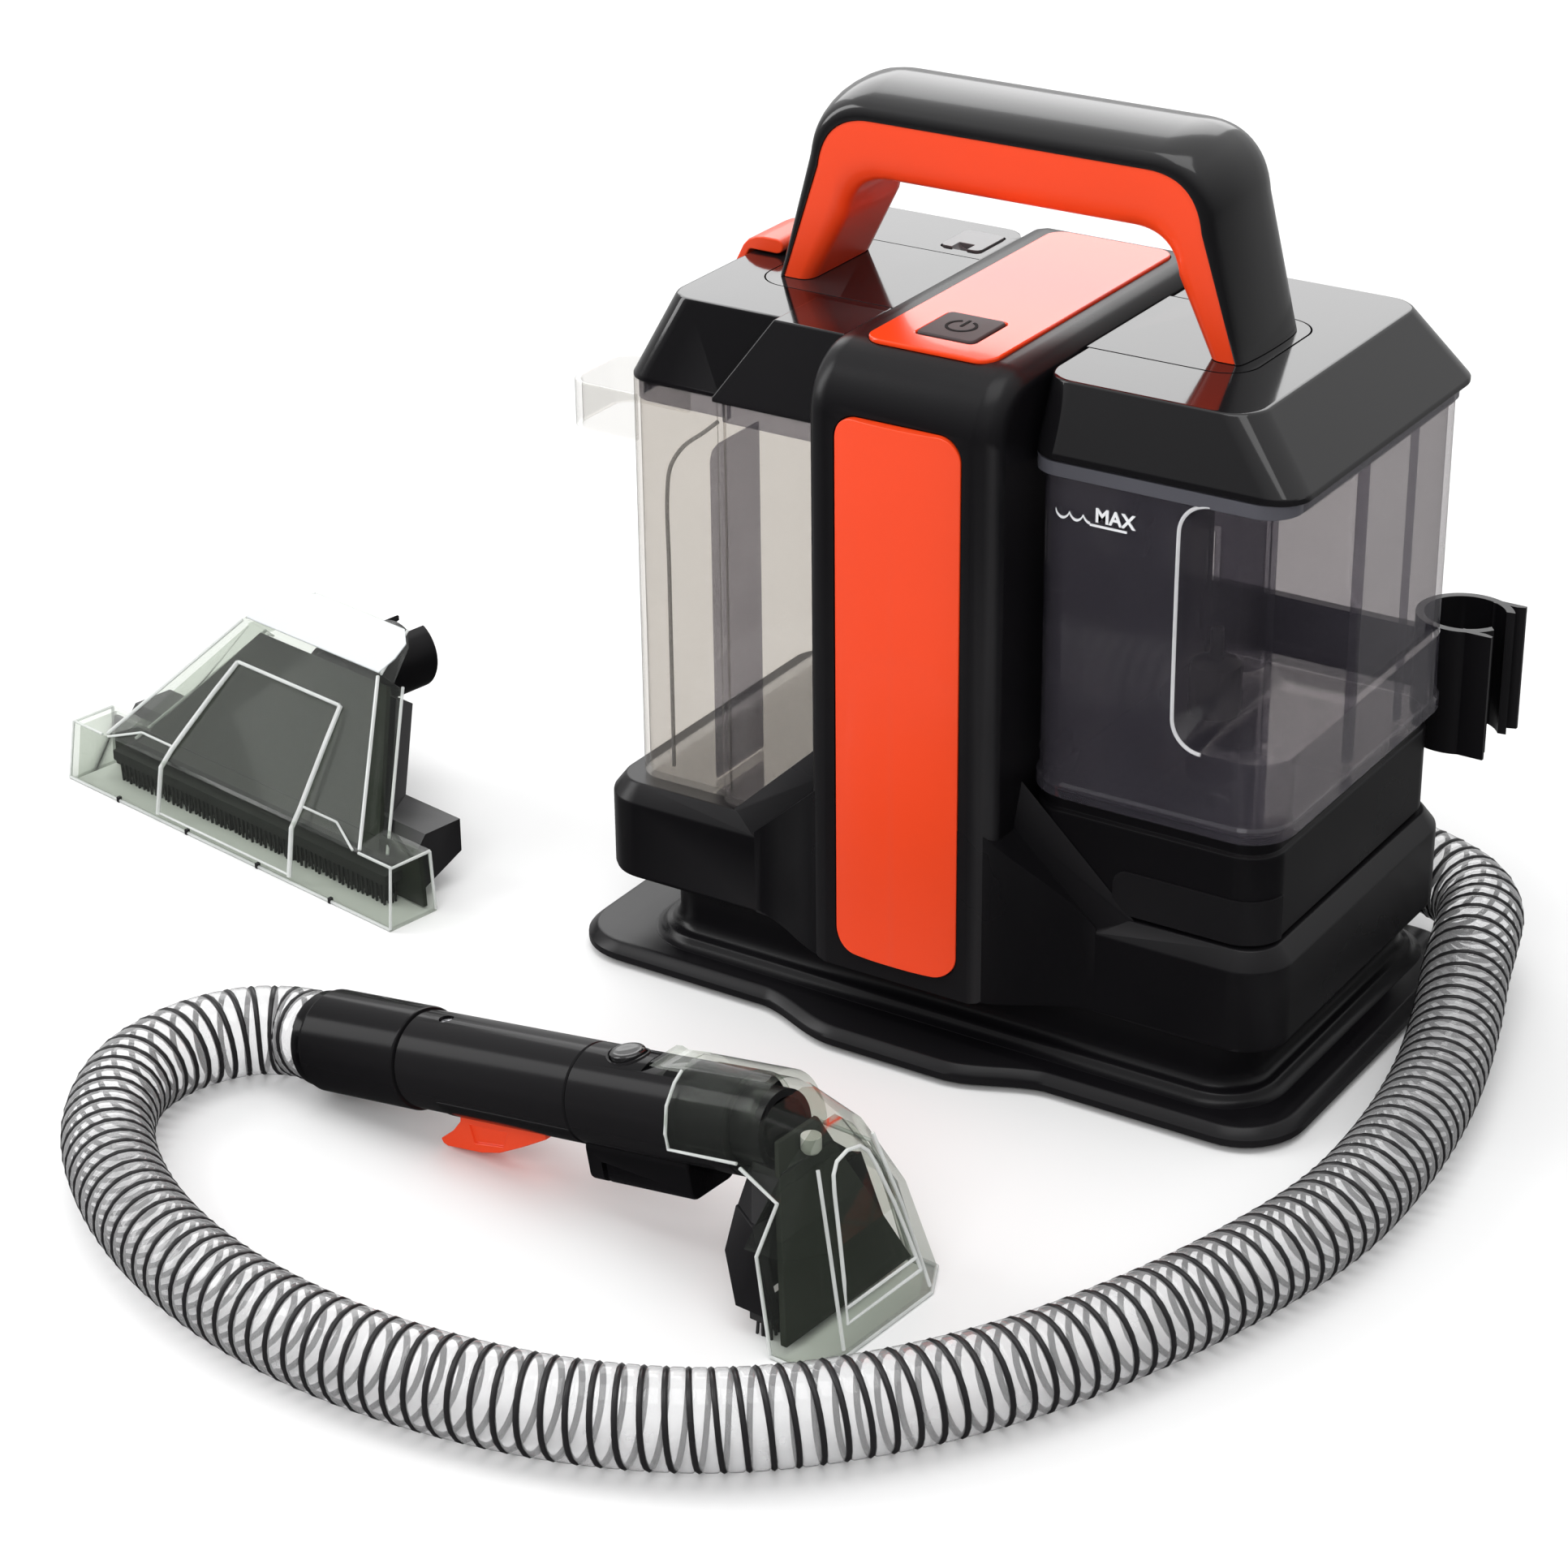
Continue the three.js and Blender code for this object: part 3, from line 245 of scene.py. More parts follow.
helix_per_turn = 20
helix_places = np.arange(0, hose_count - 1, STEPS_PER_TURN / helix_per_turn)
helix_angle = helix_places / STEPS_PER_TURN * math.tau


def along_hose(values):
    return np.stack(
        [np.interp(helix_places, np.arange(hose_count), values[:, axis]) for axis in range(3)], axis=1
    )


helix_out = (
    along_hose(hose_across) * np.cos(helix_angle)[:, None]
    + along_hose(hose_up) * np.sin(helix_angle)[:, None]
)
helix_line = along_hose(hose_line) + helix_out * (HOSE_RADIUS - HELIX_RADIUS - 0.0003)
helix_ahead = np.gradient(helix_line, axis=0)
helix_ahead /= np.linalg.norm(helix_ahead, axis=1)[:, None]
helix_side = np.cross(helix_ahead, helix_out)
helix_sides = 6
helix_ring = np.arange(helix_sides) / helix_sides * math.tau
helix_points = helix_line[:, None, :] + HELIX_RADIUS * (
    helix_out[:, None, :] * np.cos(helix_ring)[None, :, None]
    + helix_side[:, None, :] * np.sin(helix_ring)[None, :, None]
)
hose_helix = add_piece(
    "hose_helix", helix_points.reshape(-1, 3), tube_faces(len(helix_line), helix_sides)
)


def clear_plastic(name, tint, haze_colour, haze, roughness=0.04, smear=0.5, mottle_scale=30, square_on=0.04):
    """Thin clear moulding: it mirrors more at a glancing angle, tints what shows through it,
    and has a faint haze with uneven patches, as handled polycarbonate has."""
    material, tree, gloss = new_material(name)
    nodes, links = tree.nodes, tree.links
    place = nodes.new("ShaderNodeTexCoord")
    patches = nodes.new("ShaderNodeTexNoise")
    patches.inputs["Scale"].default_value = mottle_scale
    patches.inputs["Detail"].default_value = 3
    links.new(place.outputs["Object"], patches.inputs["Vector"])
    gloss.inputs["Base Color"].default_value = (1, 1, 1, 1)
    gloss.inputs["Metallic"].default_value = 1
    polish = nodes.new("ShaderNodeMapRange")
    polish.inputs["To Min"].default_value = roughness
    polish.inputs["To Max"].default_value = roughness * (1 + 3 * smear)
    links.new(patches.outputs["Fac"], polish.inputs["Value"])
    links.new(polish.outputs["Result"], gloss.inputs["Roughness"])
    through = nodes.new("ShaderNodeBsdfTransparent")
    through.inputs["Color"].default_value = (*tint, 1)
    milk = nodes.new("ShaderNodeBsdfDiffuse")
    milk.inputs["Color"].default_value = (*haze_colour, 1)
    hazed = nodes.new("ShaderNodeMixShader")
    amount = nodes.new("ShaderNodeMapRange")
    amount.inputs["To Min"].default_value = haze * (1 - smear)
    amount.inputs["To Max"].default_value = haze * (1 + smear)
    links.new(patches.outputs["Fac"], amount.inputs["Value"])
    links.new(amount.outputs["Result"], hazed.inputs["Fac"])
    links.new(through.outputs["BSDF"], hazed.inputs[1])
    links.new(milk.outputs["BSDF"], hazed.inputs[2])
    # Both faces of the thin wall mirror alike, least seen square on and most at the edges.
    view = nodes.new("ShaderNodeLayerWeight")
    view.inputs["Blend"].default_value = 0.5
    rising = nodes.new("ShaderNodeMath")
    rising.operation = "POWER"
    links.new(view.outputs["Facing"], rising.inputs[0])
    rising.inputs[1].default_value = 5
    mirror = nodes.new("ShaderNodeMapRange")
    mirror.inputs["To Min"].default_value = square_on
    mirror.inputs["To Max"].default_value = 1.0
    links.new(rising.outputs[0], mirror.inputs["Value"])
    whole = nodes.new("ShaderNodeMixShader")
    links.new(mirror.outputs["Result"], whole.inputs["Fac"])
    links.new(hazed.outputs["Shader"], whole.inputs[1])
    links.new(gloss.outputs["BSDF"], whole.inputs[2])
    links.new(whole.outputs["Shader"], nodes["Material Output"].inputs["Surface"])
    return material


hose_pvc = clear_plastic("hose_pvc", (0.975, 0.975, 0.978), (0.95, 0.95, 0.96), 0.24, 0.06, 0.35, 60)
suction_hose.data.materials.append(hose_pvc)


def build_skin_group():
    """Moulded plastic's surface: a fine spark-eroded grain, broad uneven patches in its
    gloss, and edges a little paler, partly rubbed wear and partly a painted highlight."""
    group = bpy.data.node_groups.new("moulded_skin", "ShaderNodeTree")
    face = group.interface
    face.new_socket("Colour", in_out="INPUT", socket_type="NodeSocketColor")
    for name, start in (
        ("Roughness", 0.35), ("Patchiness", 0.3), ("Grain Size", 0.0006),
        ("Grain", 0.3), ("Edge Wear And Highlight", 0.1),
    ):
        face.new_socket(name, in_out="INPUT", socket_type="NodeSocketFloat").default_value = start
    face.new_socket("Colour", in_out="OUTPUT", socket_type="NodeSocketColor")
    face.new_socket("Roughness", in_out="OUTPUT", socket_type="NodeSocketFloat")
    face.new_socket("Height", in_out="OUTPUT", socket_type="NodeSocketFloat")
    nodes, links = group.nodes, group.links
    given = nodes.new("NodeGroupInput")
    put = nodes.new("NodeGroupOutput")
    place = nodes.new("ShaderNodeTexCoord")

    def sum_of(operation, first, second):
        node = nodes.new("ShaderNodeMath")
        node.operation = operation
        for socket, value in zip(node.inputs, (first, second)):
            if isinstance(value, (int, float)):
                socket.default_value = value
            else:
                links.new(value, socket)
        return node.outputs[0]

    grain = nodes.new("ShaderNodeTexNoise")
    grain.inputs["Detail"].default_value = 2
    links.new(place.outputs["Object"], grain.inputs["Vector"])
    links.new(sum_of("DIVIDE", 1, given.outputs["Grain Size"]), grain.inputs["Scale"])
    patches = nodes.new("ShaderNodeTexNoise")
    patches.inputs["Scale"].default_value = 14
    patches.inputs["Detail"].default_value = 4
    links.new(place.outputs["Object"], patches.inputs["Vector"])
    swing = sum_of("MULTIPLY", sum_of("SUBTRACT", patches.outputs["Fac"], 0.5), given.outputs["Patchiness"])
    rough = sum_of("MULTIPLY", given.outputs["Roughness"], sum_of("ADD", 1, sum_of("MULTIPLY", swing, 2)))
    # Convex edges turn paler: partly rubbed wear, partly a painted edge highlight.
    geometry = nodes.new("ShaderNodeNewGeometry")
    edge = nodes.new("ShaderNodeMapRange")
    edge.inputs["From Min"].default_value = 0.52
    edge.inputs["From Max"].default_value = 0.62
    links.new(geometry.outputs["Pointiness"], edge.inputs["Value"])
    rubbed_and_highlit = sum_of("MULTIPLY", edge.outputs["Result"], given.outputs["Edge Wear And Highlight"])
    paler = nodes.new("ShaderNodeMix")
    paler.data_type = "RGBA"
    links.new(rubbed_and_highlit, paler.inputs["Factor"])
    links.new(given.outputs["Colour"], paler.inputs["A"])
    paler.inputs["B"].default_value = (0.35, 0.34, 0.35, 1)
    toned = nodes.new("ShaderNodeHueSaturation")
    links.new(sum_of("ADD", 1, swing), toned.inputs["Value"])
    links.new(paler.outputs["Result"], toned.inputs["Color"])
    links.new(toned.outputs["Color"], put.inputs["Colour"])
    links.new(rough, put.inputs["Roughness"])
    links.new(sum_of("MULTIPLY", grain.outputs["Fac"], given.outputs["Grain"]), put.inputs["Height"])
    return group


moulded_skin = build_skin_group()


def moulded(name, colour, roughness, coat=0.0, patchiness=0.25, grain_size=0.0006, grain=0.3, edge_wear_and_highlight=0.05,
            shine=0.5):
    """Opaque moulded plastic or rubber of one colour."""
    material, tree, shader = new_material(name)
    skin = tree.nodes.new("ShaderNodeGroup")
    skin.node_tree = moulded_skin
    skin.inputs["Colour"].default_value = (*colour, 1)
    skin.inputs["Roughness"].default_value = roughness
    skin.inputs["Patchiness"].default_value = patchiness
    skin.inputs["Grain Size"].default_value = grain_size
    skin.inputs["Grain"].default_value = grain
    # The paler edges are partly rubbed wear and partly a painted highlight.
    skin.inputs["Edge Wear And Highlight"].default_value = edge_wear_and_highlight
    bump = tree.nodes.new("ShaderNodeBump")
    bump.inputs["Strength"].default_value = 0.25
    bump.inputs["Distance"].default_value = 0.0002
    tree.links.new(skin.outputs["Height"], bump.inputs["Height"])
    tree.links.new(bump.outputs["Normal"], shader.inputs["Normal"])
    tree.links.new(skin.outputs["Colour"], shader.inputs["Base Color"])
    tree.links.new(skin.outputs["Roughness"], shader.inputs["Roughness"])
    shader.inputs["Specular IOR Level"].default_value = shine
    shader.inputs["Coat Weight"].default_value = coat
    shader.inputs["Coat Roughness"].default_value = 0.04
    return material


satin_black = moulded("satin_black", (0.0050, 0.0046, 0.0056), 0.30, patchiness=0.3, grain=0.5, shine=0.24)
hose_helix.data.materials.append(satin_black)
for part in (suction_hose, hose_helix):
    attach(part, "machine")
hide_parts("suction_hose")

# ---------------------------------------------------------------- base plate and feet
# One moulding in satin black ABS: a flat foot with a rounded, chamfered edge that swells
# forward under the column, and a hollow neck, standing in a rolled bead, that carries the
# lower housing. Four rubber feet are pushed in from below.


def rounded_rectangle(x0, y0, x1, y1, radius, steps=8):
    """Points round a rectangle with round corners, anticlockwise from its back right one."""
    corners = [
        (x1 - radius, y1 - radius, 0), (x0 + radius, y1 - radius, 90),
        (x0 + radius, y0 + radius, 180), (x1 - radius, y0 + radius, 270),
    ]
    points = []
    for x, y, start in corners:
        for step in range(steps + 1):
            angle = math.radians(start + 90 * step / steps)
            points.append((x + radius * math.cos(angle), y + radius * math.sin(angle)))
    return points


def grown(rectangle, by):
    """The numbers of a rounded rectangle that lies further out, or further in, by a distance."""
    x0, y0, x1, y1, radius = rectangle
    return x0 - by, y0 - by, x1 + by, y1 + by, max(radius + by, 0.0005)


def stack(name, rings, closed=False):
    """A solid through rings of equally many points. Closed joins the last ring to the first."""
    sides = len(rings[0])
    vertices = [Vector(point) for ring in rings for point in ring]
    faces = tube_faces(len(rings), sides, capped=not closed)
    if closed:
        last = (len(rings) - 1) * sides
        faces += [
            (last + side, last + (side + 1) % sides, (side + 1) % sides, side) for side in range(sides)
        ]
    piece = add_piece(name, vertices, faces, smooth=False)
    tidy = bmesh.new()
    tidy.from_mesh(piece.data)
    bmesh.ops.remove_doubles(tidy, verts=tidy.verts, dist=1e-6)
    bmesh.ops.recalc_face_normals(tidy, faces=tidy.faces)
    tidy.to_mesh(piece.data)
    tidy.free()
    return piece


def upright(name, outline, low, high):
    return stack(name, [[(x, y, z) for x, y in outline] for z in (low, high)])


def across(name, outline, front, back):
    """An outline in the XZ plane, carried along Y."""
    return stack(name, [[(x, y, z) for x, z in outline] for y in (front, back)])


def sideways(name, outline, left, right):
    """An outline in the YZ plane, carried along X."""
    return stack(name, [[(x, y, z) for y, z in outline] for x in (left, right)])


def block(name, x0, x1, y0, y1, z0, z1):
    return upright(name, [(x0, y0), (x1, y0), (x1, y1), (x0, y1)], z0, z1)


def rod(name, start, end, radius, sides=40):
    start, end = Vector(start), Vector(end)
    turn = (end - start).to_track_quat("Z", "X")
    ring = [
        turn @ Vector((radius * math.cos(k / sides * math.tau), radius * math.sin(k / sides * math.tau), 0))
        for k in range(sides)
    ]
    return stack(name, [[start + point for point in ring], [end + point for point in ring]])


def settle(piece):
    """Applies the piece's modifiers."""
    bpy.context.view_layer.update()
    graph = bpy.context.evaluated_depsgraph_get()
    finished = bpy.data.meshes.new_from_object(piece.evaluated_get(graph))
    piece.modifiers.clear()
    piece.data = finished
    return piece


def combine(piece, operation, *others):
    for other in others:
        step = piece.modifiers.new("cut", "BOOLEAN")
        step.operation = operation
        step.solver = "EXACT"
        step.object = other
        settle(piece)
        bpy.data.objects.remove(other)
    return piece


def carve(piece, *cutters):
    return combine(piece, "DIFFERENCE", *cutters)


def fuse(piece, *others):
    return combine(piece, "UNION", *others)


def overlap(piece, *others):
    return combine(piece, "INTERSECT", *others)


def soften(piece, width, segments=3, angle=30):
    """Rounds every edge sharper than angle, then shades the piece smoothly between them."""
    if width:
        bevel = piece.modifiers.new("round", "BEVEL")
        bevel.width = width
        bevel.segments = segments
        bevel.limit_method = "ANGLE"
        bevel.angle_limit = math.radians(angle)
        bevel.use_clamp_overlap = True
        bevel.miter_outer = "MITER_ARC"
        settle(piece)
    piece.data.shade_smooth()
    weighted = piece.modifiers.new("shade", "WEIGHTED_NORMAL")
    weighted.keep_sharp = True
    piece.data.set_sharp_from_angle(angle=math.radians(38))
    return settle(piece)


def mount(piece, material, body="machine", replaced=(), place=None):
    """Moves a piece drawn in the machine's axes into the frame and fixes it to its body."""
    piece.data.transform(place if place else Matrix.Translation(MACHINE))
    piece.data.materials.clear()
    piece.data.materials.append(material)
    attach(piece, body)
    if replaced:
        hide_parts(*replaced)
    return piece


def plate_outline(inset, steps=10):
    """The foot's outline: a rounded rectangle whose front edge swells under the column."""
    half, front, back, corner, swell = 0.1725, -0.102, 0.100, 0.028, 0.014
    points = rounded_rectangle(
        -half + inset, front + inset, half - inset, back - inset, max(corner - inset, 0.002), steps
    )
    reach = 40
    start = 3 * (steps + 1)
    edge = []
    for step in range(1, reach):
        x = -0.072 + 0.144 * step / reach
        rise = min(1.0, (0.072 - abs(x)) / 0.046)
        edge.append((x, front + inset - swell * rise * rise * (3 - 2 * rise)))
    return points[:start] + edge + points[start:]


NECK = (-0.134, -0.079, 0.147, 0.082, 0.018)
neck_top = 0.0357
foot_rings = [
    (0.0012, 0.0023), (0.0, 0.0033), (0.0, 0.0062), (0.0008, 0.0072), (0.0034, 0.0096), (0.0052, 0.0103),
]
base_plate = stack(
    "base_plate_moulding",
    [[(x, y, z) for x, y in plate_outline(inset)] for inset, z in foot_rings],
)
bead = [
    (0.0120, 0.0092), (0.0112, 0.0104), (0.0092, 0.0110), (0.0076, 0.0122), (0.0069, 0.0137),
    (0.0058, 0.0144), (0.0040, 0.0146), (0.0022, 0.0154), (0.0008, 0.0174), (0.0, 0.0210),
    (0.0, neck_top - 0.001), (-0.001, neck_top),
]
neck = stack(
    "neck", [[(x, y, z) for x, y in rounded_rectangle(*grown(NECK, out), 12)] for out, z in bead]
)
neck_hollow = upright(
    "neck_hollow", rounded_rectangle(*grown(NECK, -0.004), 12), 0.0115, neck_top + 0.01
)
fuse(base_plate, neck)
carve(base_plate, neck_hollow)
mount(soften(base_plate, 0), satin_black, replaced=["base_plate"])

foot_rubber = moulded("foot_rubber", (0.022, 0.022, 0.022), 0.75, grain=0.8, grain_size=0.001)
for number in range(1, 5):
    low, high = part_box(f"rubber_foot_{number}")
    middle = (low + high) / 2
    radius = (high.x - low.x) / 2
    profile = [(radius - 0.0012, 0.0), (radius, 0.0008), (radius, high.z)]
    foot = stack(
        f"rubber_foot_disc_{number}",
        [
            [
                (middle.x + r * math.cos(k / 36 * math.tau), middle.y + r * math.sin(k / 36 * math.tau), z)
                for k in range(36)
            ]
            for r, z in profile
        ],
    )
    mount(
        soften(foot, 0), foot_rubber, replaced=[f"rubber_foot_{number}"], place=Matrix.Identity(4)
    )

# ---------------------------------------------------------------- lower housing
# The satin black tray that the tanks stand in: straight sides, a sloping rim all round, and
# a front that flows forward into the column. The rim climbs to the column on both sides.
TRAY = (-0.164, -0.086, 0.160, 0.088, 0.020)
TRAY_LOW, RIM_LOW, RIM_TOP, RIM_IN = 0.036, 0.073, 0.080, 0.006
COLUMN_HALF, COLUMN_FRONT, COLUMN_BACK, COLUMN_TOP = 0.0435, -0.106, 0.088, 0.305

tray_rings = [
    (-0.0022, TRAY_LOW), (-0.0006, TRAY_LOW + 0.0006), (0.0, TRAY_LOW + 0.0024), (0.0, RIM_LOW - 0.0012),
    (-0.0003, RIM_LOW), (-RIM_IN + 0.0008, RIM_TOP - 0.0006), (-RIM_IN - 0.0006, RIM_TOP),
]
lower_housing = stack(
    "lower_housing_tray",
    [[(x, y, z) for x, y in rounded_rectangle(*grown(TRAY, out), 12)] for out, z in tray_rings],
)
# The front flows forward to the column along an S-shaped line.
apron = []
apron_steps = 14
for step in range(apron_steps + 1):
    share = step / apron_steps
    apron.append((-0.082 + share * 0.050, TRAY[1] - 0.0195 * share * share * (3 - 2 * share)))
apron += [(-x, y) for x, y in reversed(apron)]
apron += [(0.082, -0.07), (-0.082, -0.07)]
flow = stack(
    "apron",
    [
        [(x * (1 - 0.01 * inset), y + inset * 0.001, z) for x, y in apron]
        for inset, z in ((1.6, TRAY_LOW), (0.3, TRAY_LOW + 0.0008), (0, TRAY_LOW + 0.0024), (0, 0.135))
    ],
)
# What stands above the rim is cut off along the two slopes that climb to the column.
shoulder = across(
    "shoulder",
    [
        (-0.0845, RIM_LOW), (-0.0845, 0.03), (0.0845, 0.03), (0.0845, RIM_LOW),
        (COLUMN_HALF - 0.004, 0.1135), (-COLUMN_HALF + 0.004, 0.1135),
    ],
    -0.120, -0.060,
)
overlap(flow, shoulder)
climb_front = [(0.083, RIM_LOW), (0.0435, 0.1125), (0.030, 0.1125), (0.030, 0.060), (0.083, 0.060)]
climb_back = [(0.096, RIM_TOP), (0.0435, 0.1290), (0.030, 0.1290), (0.030, 0.060), (0.096, 0.060)]
fuse(lower_housing, flow)
for side in (-1, 1):
    rise = stack(
        "rise",
        [
            [(side * x, TRAY[1] + 0.0004, z) for x, z in climb_front],
            [(side * x, TRAY[1] + RIM_IN, z) for x, z in climb_back],
        ],
    )
    fuse(lower_housing, rise)
tray_hollow = upright(
    "tray_hollow", rounded_rectangle(*grown(TRAY, -0.0045), 8), TRAY_LOW + 0.003, RIM_TOP - 0.004
)
tray_floor = upright("tray_floor", rounded_rectangle(*grown(NECK, -0.003), 8), 0.02, 0.05)
carve(lower_housing, tray_hollow, tray_floor)
mount(soften(lower_housing, 0.0007, 2, 34), satin_black, replaced=["lower_housing"])

# ---------------------------------------------------------------- column
# A tall gloss-edged black shell. Its front rolls over into the top, and a polished bevel runs
# up both front edges and back along the top, either side of the orange panel.
gloss_black = moulded(
    "gloss_black", (0.006, 0.0058, 0.0065), 0.16, coat=0.3, patchiness=0.15, grain=0.12, shine=0.4,
)


def side_profile(front_radius=0.027, back_radius=0.018, steps=12):
    """The column seen from its side: foot, back, rounded top corners, front."""
    points = [(COLUMN_FRONT, TRAY_LOW), (COLUMN_BACK, TRAY_LOW)]
    for radius, y, start in (
        (back_radius, COLUMN_BACK - back_radius, 0), (front_radius, COLUMN_FRONT + front_radius, 90),
    ):
        for step in range(steps + 1):
            angle = math.radians(start + 90 * step / steps)
            points.append((y + radius * math.cos(angle), COLUMN_TOP - radius + radius * math.sin(angle)))
    return points


def inward(profile, by):
    """The profile drawn in by a distance along its own normals."""
    count = len(profile)
    moved = []
    for k in range(count):
        before, here, after = (Vector(profile[(k + step) % count]) for step in (-1, 0, 1))
        first = (here - before).normalized()
        second = (after - here).normalized()
        normal = Vector((-(first.y + second.y), first.x + second.x)).normalized()
        share = max(0.35, normal.dot(Vector((-first.y, first.x))))
        moved.append(tuple(here + normal * (by / share)))
    return moved


edge_rolls = [
    (0.0, 0.0092), (0.0006, 0.0058), (0.0022, 0.0030), (0.0050, 0.0009), (0.0088, 0.0), (0.0105, 0.0),
]
profile = side_profile()
column_rings = [[(-COLUMN_HALF + x, y, z) for y, z in inward(profile, inset)] for x, inset in edge_rolls]
column_rings += [[(-x, y, z) for x, y, z in ring] for ring in reversed(column_rings)]
column_shell = stack("column_casing", column_rings)
strip_seat = across(
    "strip_seat", rounded_rectangle(-0.0291, 0.0444, 0.0291, 0.2816, 0.0105), -0.12, COLUMN_FRONT + 0.0014
)
panel_seat = upright(
    "panel_seat", rounded_rectangle(-0.0294, -0.0854, 0.0294, 0.0704, 0.0084), COLUMN_TOP - 0.0012, 0.32
)
button_well = upright("button_well", rounded_rectangle(-0.0138, -0.0716, 0.0138, -0.0424, 0.003), 0.298, 0.32)
carve(column_shell, strip_seat, panel_seat, button_well)
mount(soften(column_shell, 0.0004, 2, 34), satin_black, replaced=["column_shell"])

# ---------------------------------------------------------------- orange strip and top panel
# Two smooth orange-red covers snapped into seats in the column: a tall crowned strip down the
# front and a flat glossy plate on top, which has a square opening for the power button.
orange_plastic = moulded(
    "orange_plastic", (0.93, 0.062, 0.009), 0.34, coat=0.25, patchiness=0.1, grain=0.1, edge_wear_and_highlight=0.02
)
orange_gloss = moulded(
    "orange_gloss", (1.0, 0.062, 0.008), 0.16, coat=0.25, patchiness=0.1, grain=0.05, edge_wear_and_highlight=0.02
)
STRIP_HALF = 0.0285
crown_depth = 0.0036
crown = []
for step in range(25):
    share = -1 + 2 * step / 24
    crown.append((share * STRIP_HALF, COLUMN_FRONT - 0.0002 - crown_depth * (1 - abs(share) ** 2.6)))
crown += [(STRIP_HALF, COLUMN_FRONT + 0.0012), (-STRIP_HALF, COLUMN_FRONT + 0.0012)]
front_strip = upright("front_strip_cover", crown, 0.03, 0.29)
overlap(
    front_strip,
    across(
        "strip_outline", rounded_rectangle(-STRIP_HALF, 0.045, STRIP_HALF, 0.281, 0.0100, 12), -0.12, -0.1,
    ),
)
mount(soften(front_strip, 0.0009, 3, 40), orange_plastic, replaced=["front_strip"])

top_panel = upright(
    "top_panel_cover", rounded_rectangle(-0.029, -0.085, 0.029, 0.070, 0.008, 12), 0.3040, 0.3062
)
carve(
    top_panel,
    upright("button_opening", rounded_rectangle(-0.0135, -0.0713, 0.0135, -0.0427, 0.0026), 0.29, 0.32),
)
mount(soften(top_panel, 0.0007, 3, 40), orange_gloss, replaced=["top_panel"])

# ---------------------------------------------------------------- power button
# A square charcoal key with a moulded ring and bar, which stands a millimetre proud.
charcoal = moulded("charcoal_key", (0.060, 0.050, 0.052), 0.45, grain=0.4, shine=0.3)
mark_paint = moulded("mark_paint", (0.003, 0.003, 0.003), 0.5, grain=0.0, shine=0.02)
power_key = upright(
    "power_key", rounded_rectangle(-0.0130, -0.0708, 0.0130, -0.0432, 0.0026, 8), 0.3017, 0.3070
)
mount(soften(power_key, 0.0008, 3), charcoal, "power_button", ["power_button"])


def ring_mark(name, centre, radius, width, z, height, start=0, end=360, steps=48):
    """A flat ring, or part of one, standing a little above a surface."""
    rings = []
    for step in range(steps + 1):
        angle = math.radians(start + (end - start) * step / steps)
        ahead = Vector((math.cos(angle), math.sin(angle), 0))
        rings.append(
            [
                Vector((*centre, z)) + ahead * (radius + out) + Vector((0, 0, up))
                for out, up in ((-width / 2, 0), (width / 2, 0), (width / 2, height), (-width / 2, height))
            ]
        )
    return stack(name, rings[:-1] if end - start == 360 else rings, closed=end - start == 360)


MARK_FOOT = 0.30695
power_mark = ring_mark("power_mark", (0, -0.057), 0.0060, 0.0012, MARK_FOOT, 0.00025, 115, 425)
fuse(power_mark, block("bar", -0.0006, 0.0006, -0.0575, -0.0500, MARK_FOOT, MARK_FOOT + 0.00025))
mount(power_mark, mark_paint, "power_button")

# ---------------------------------------------------------------- carrying handle
# A black arch screwed down on both lids' saddle plates, crowned across its top, with an
# orange soft-touch liner inside it where the fingers go.
HANDLE_FOOT = 0.3003


def arch(half_foot, half_top, crown_z, radius, leg_steps=8, corner_steps=14, top_steps=16):
    """Points up the left leg of an arch, over its top and down the right leg."""
    shoulder_x, shoulder_z = half_top + 0.003, crown_z - radius
    half = []
    for step in range(leg_steps):
        share = step / leg_steps
        half.append((half_foot + (shoulder_x - half_foot) * share,
                     HANDLE_FOOT + (shoulder_z - HANDLE_FOOT) * share))
    for step in range(corner_steps + 1):
        t = step / corner_steps
        half.append((
            (1 - t) ** 2 * shoulder_x + 2 * t * (1 - t) * half_top + t * t * (half_top - radius),
            (1 - t) ** 2 * shoulder_z + 2 * t * (1 - t) * crown_z + t * t * crown_z,
        ))
    reach = half_top - radius
    top = [(-reach + 2 * reach * step / top_steps, crown_z) for step in range(1, top_steps)]
    return [(-x, z) for x, z in half] + top + [(x, z) for x, z in reversed(half)]


def arch_band(name, inner, outer, section):
    """A band between two arches. Each point of the section is its Y and its share of the way out."""
    rings = [
        [(x0 + (x1 - x0) * share, y, z0 + (z1 - z0) * share) for y, share in section]
        for (x0, z0), (x1, z1) in zip(inner, outer)
    ]
    return stack(name, rings)


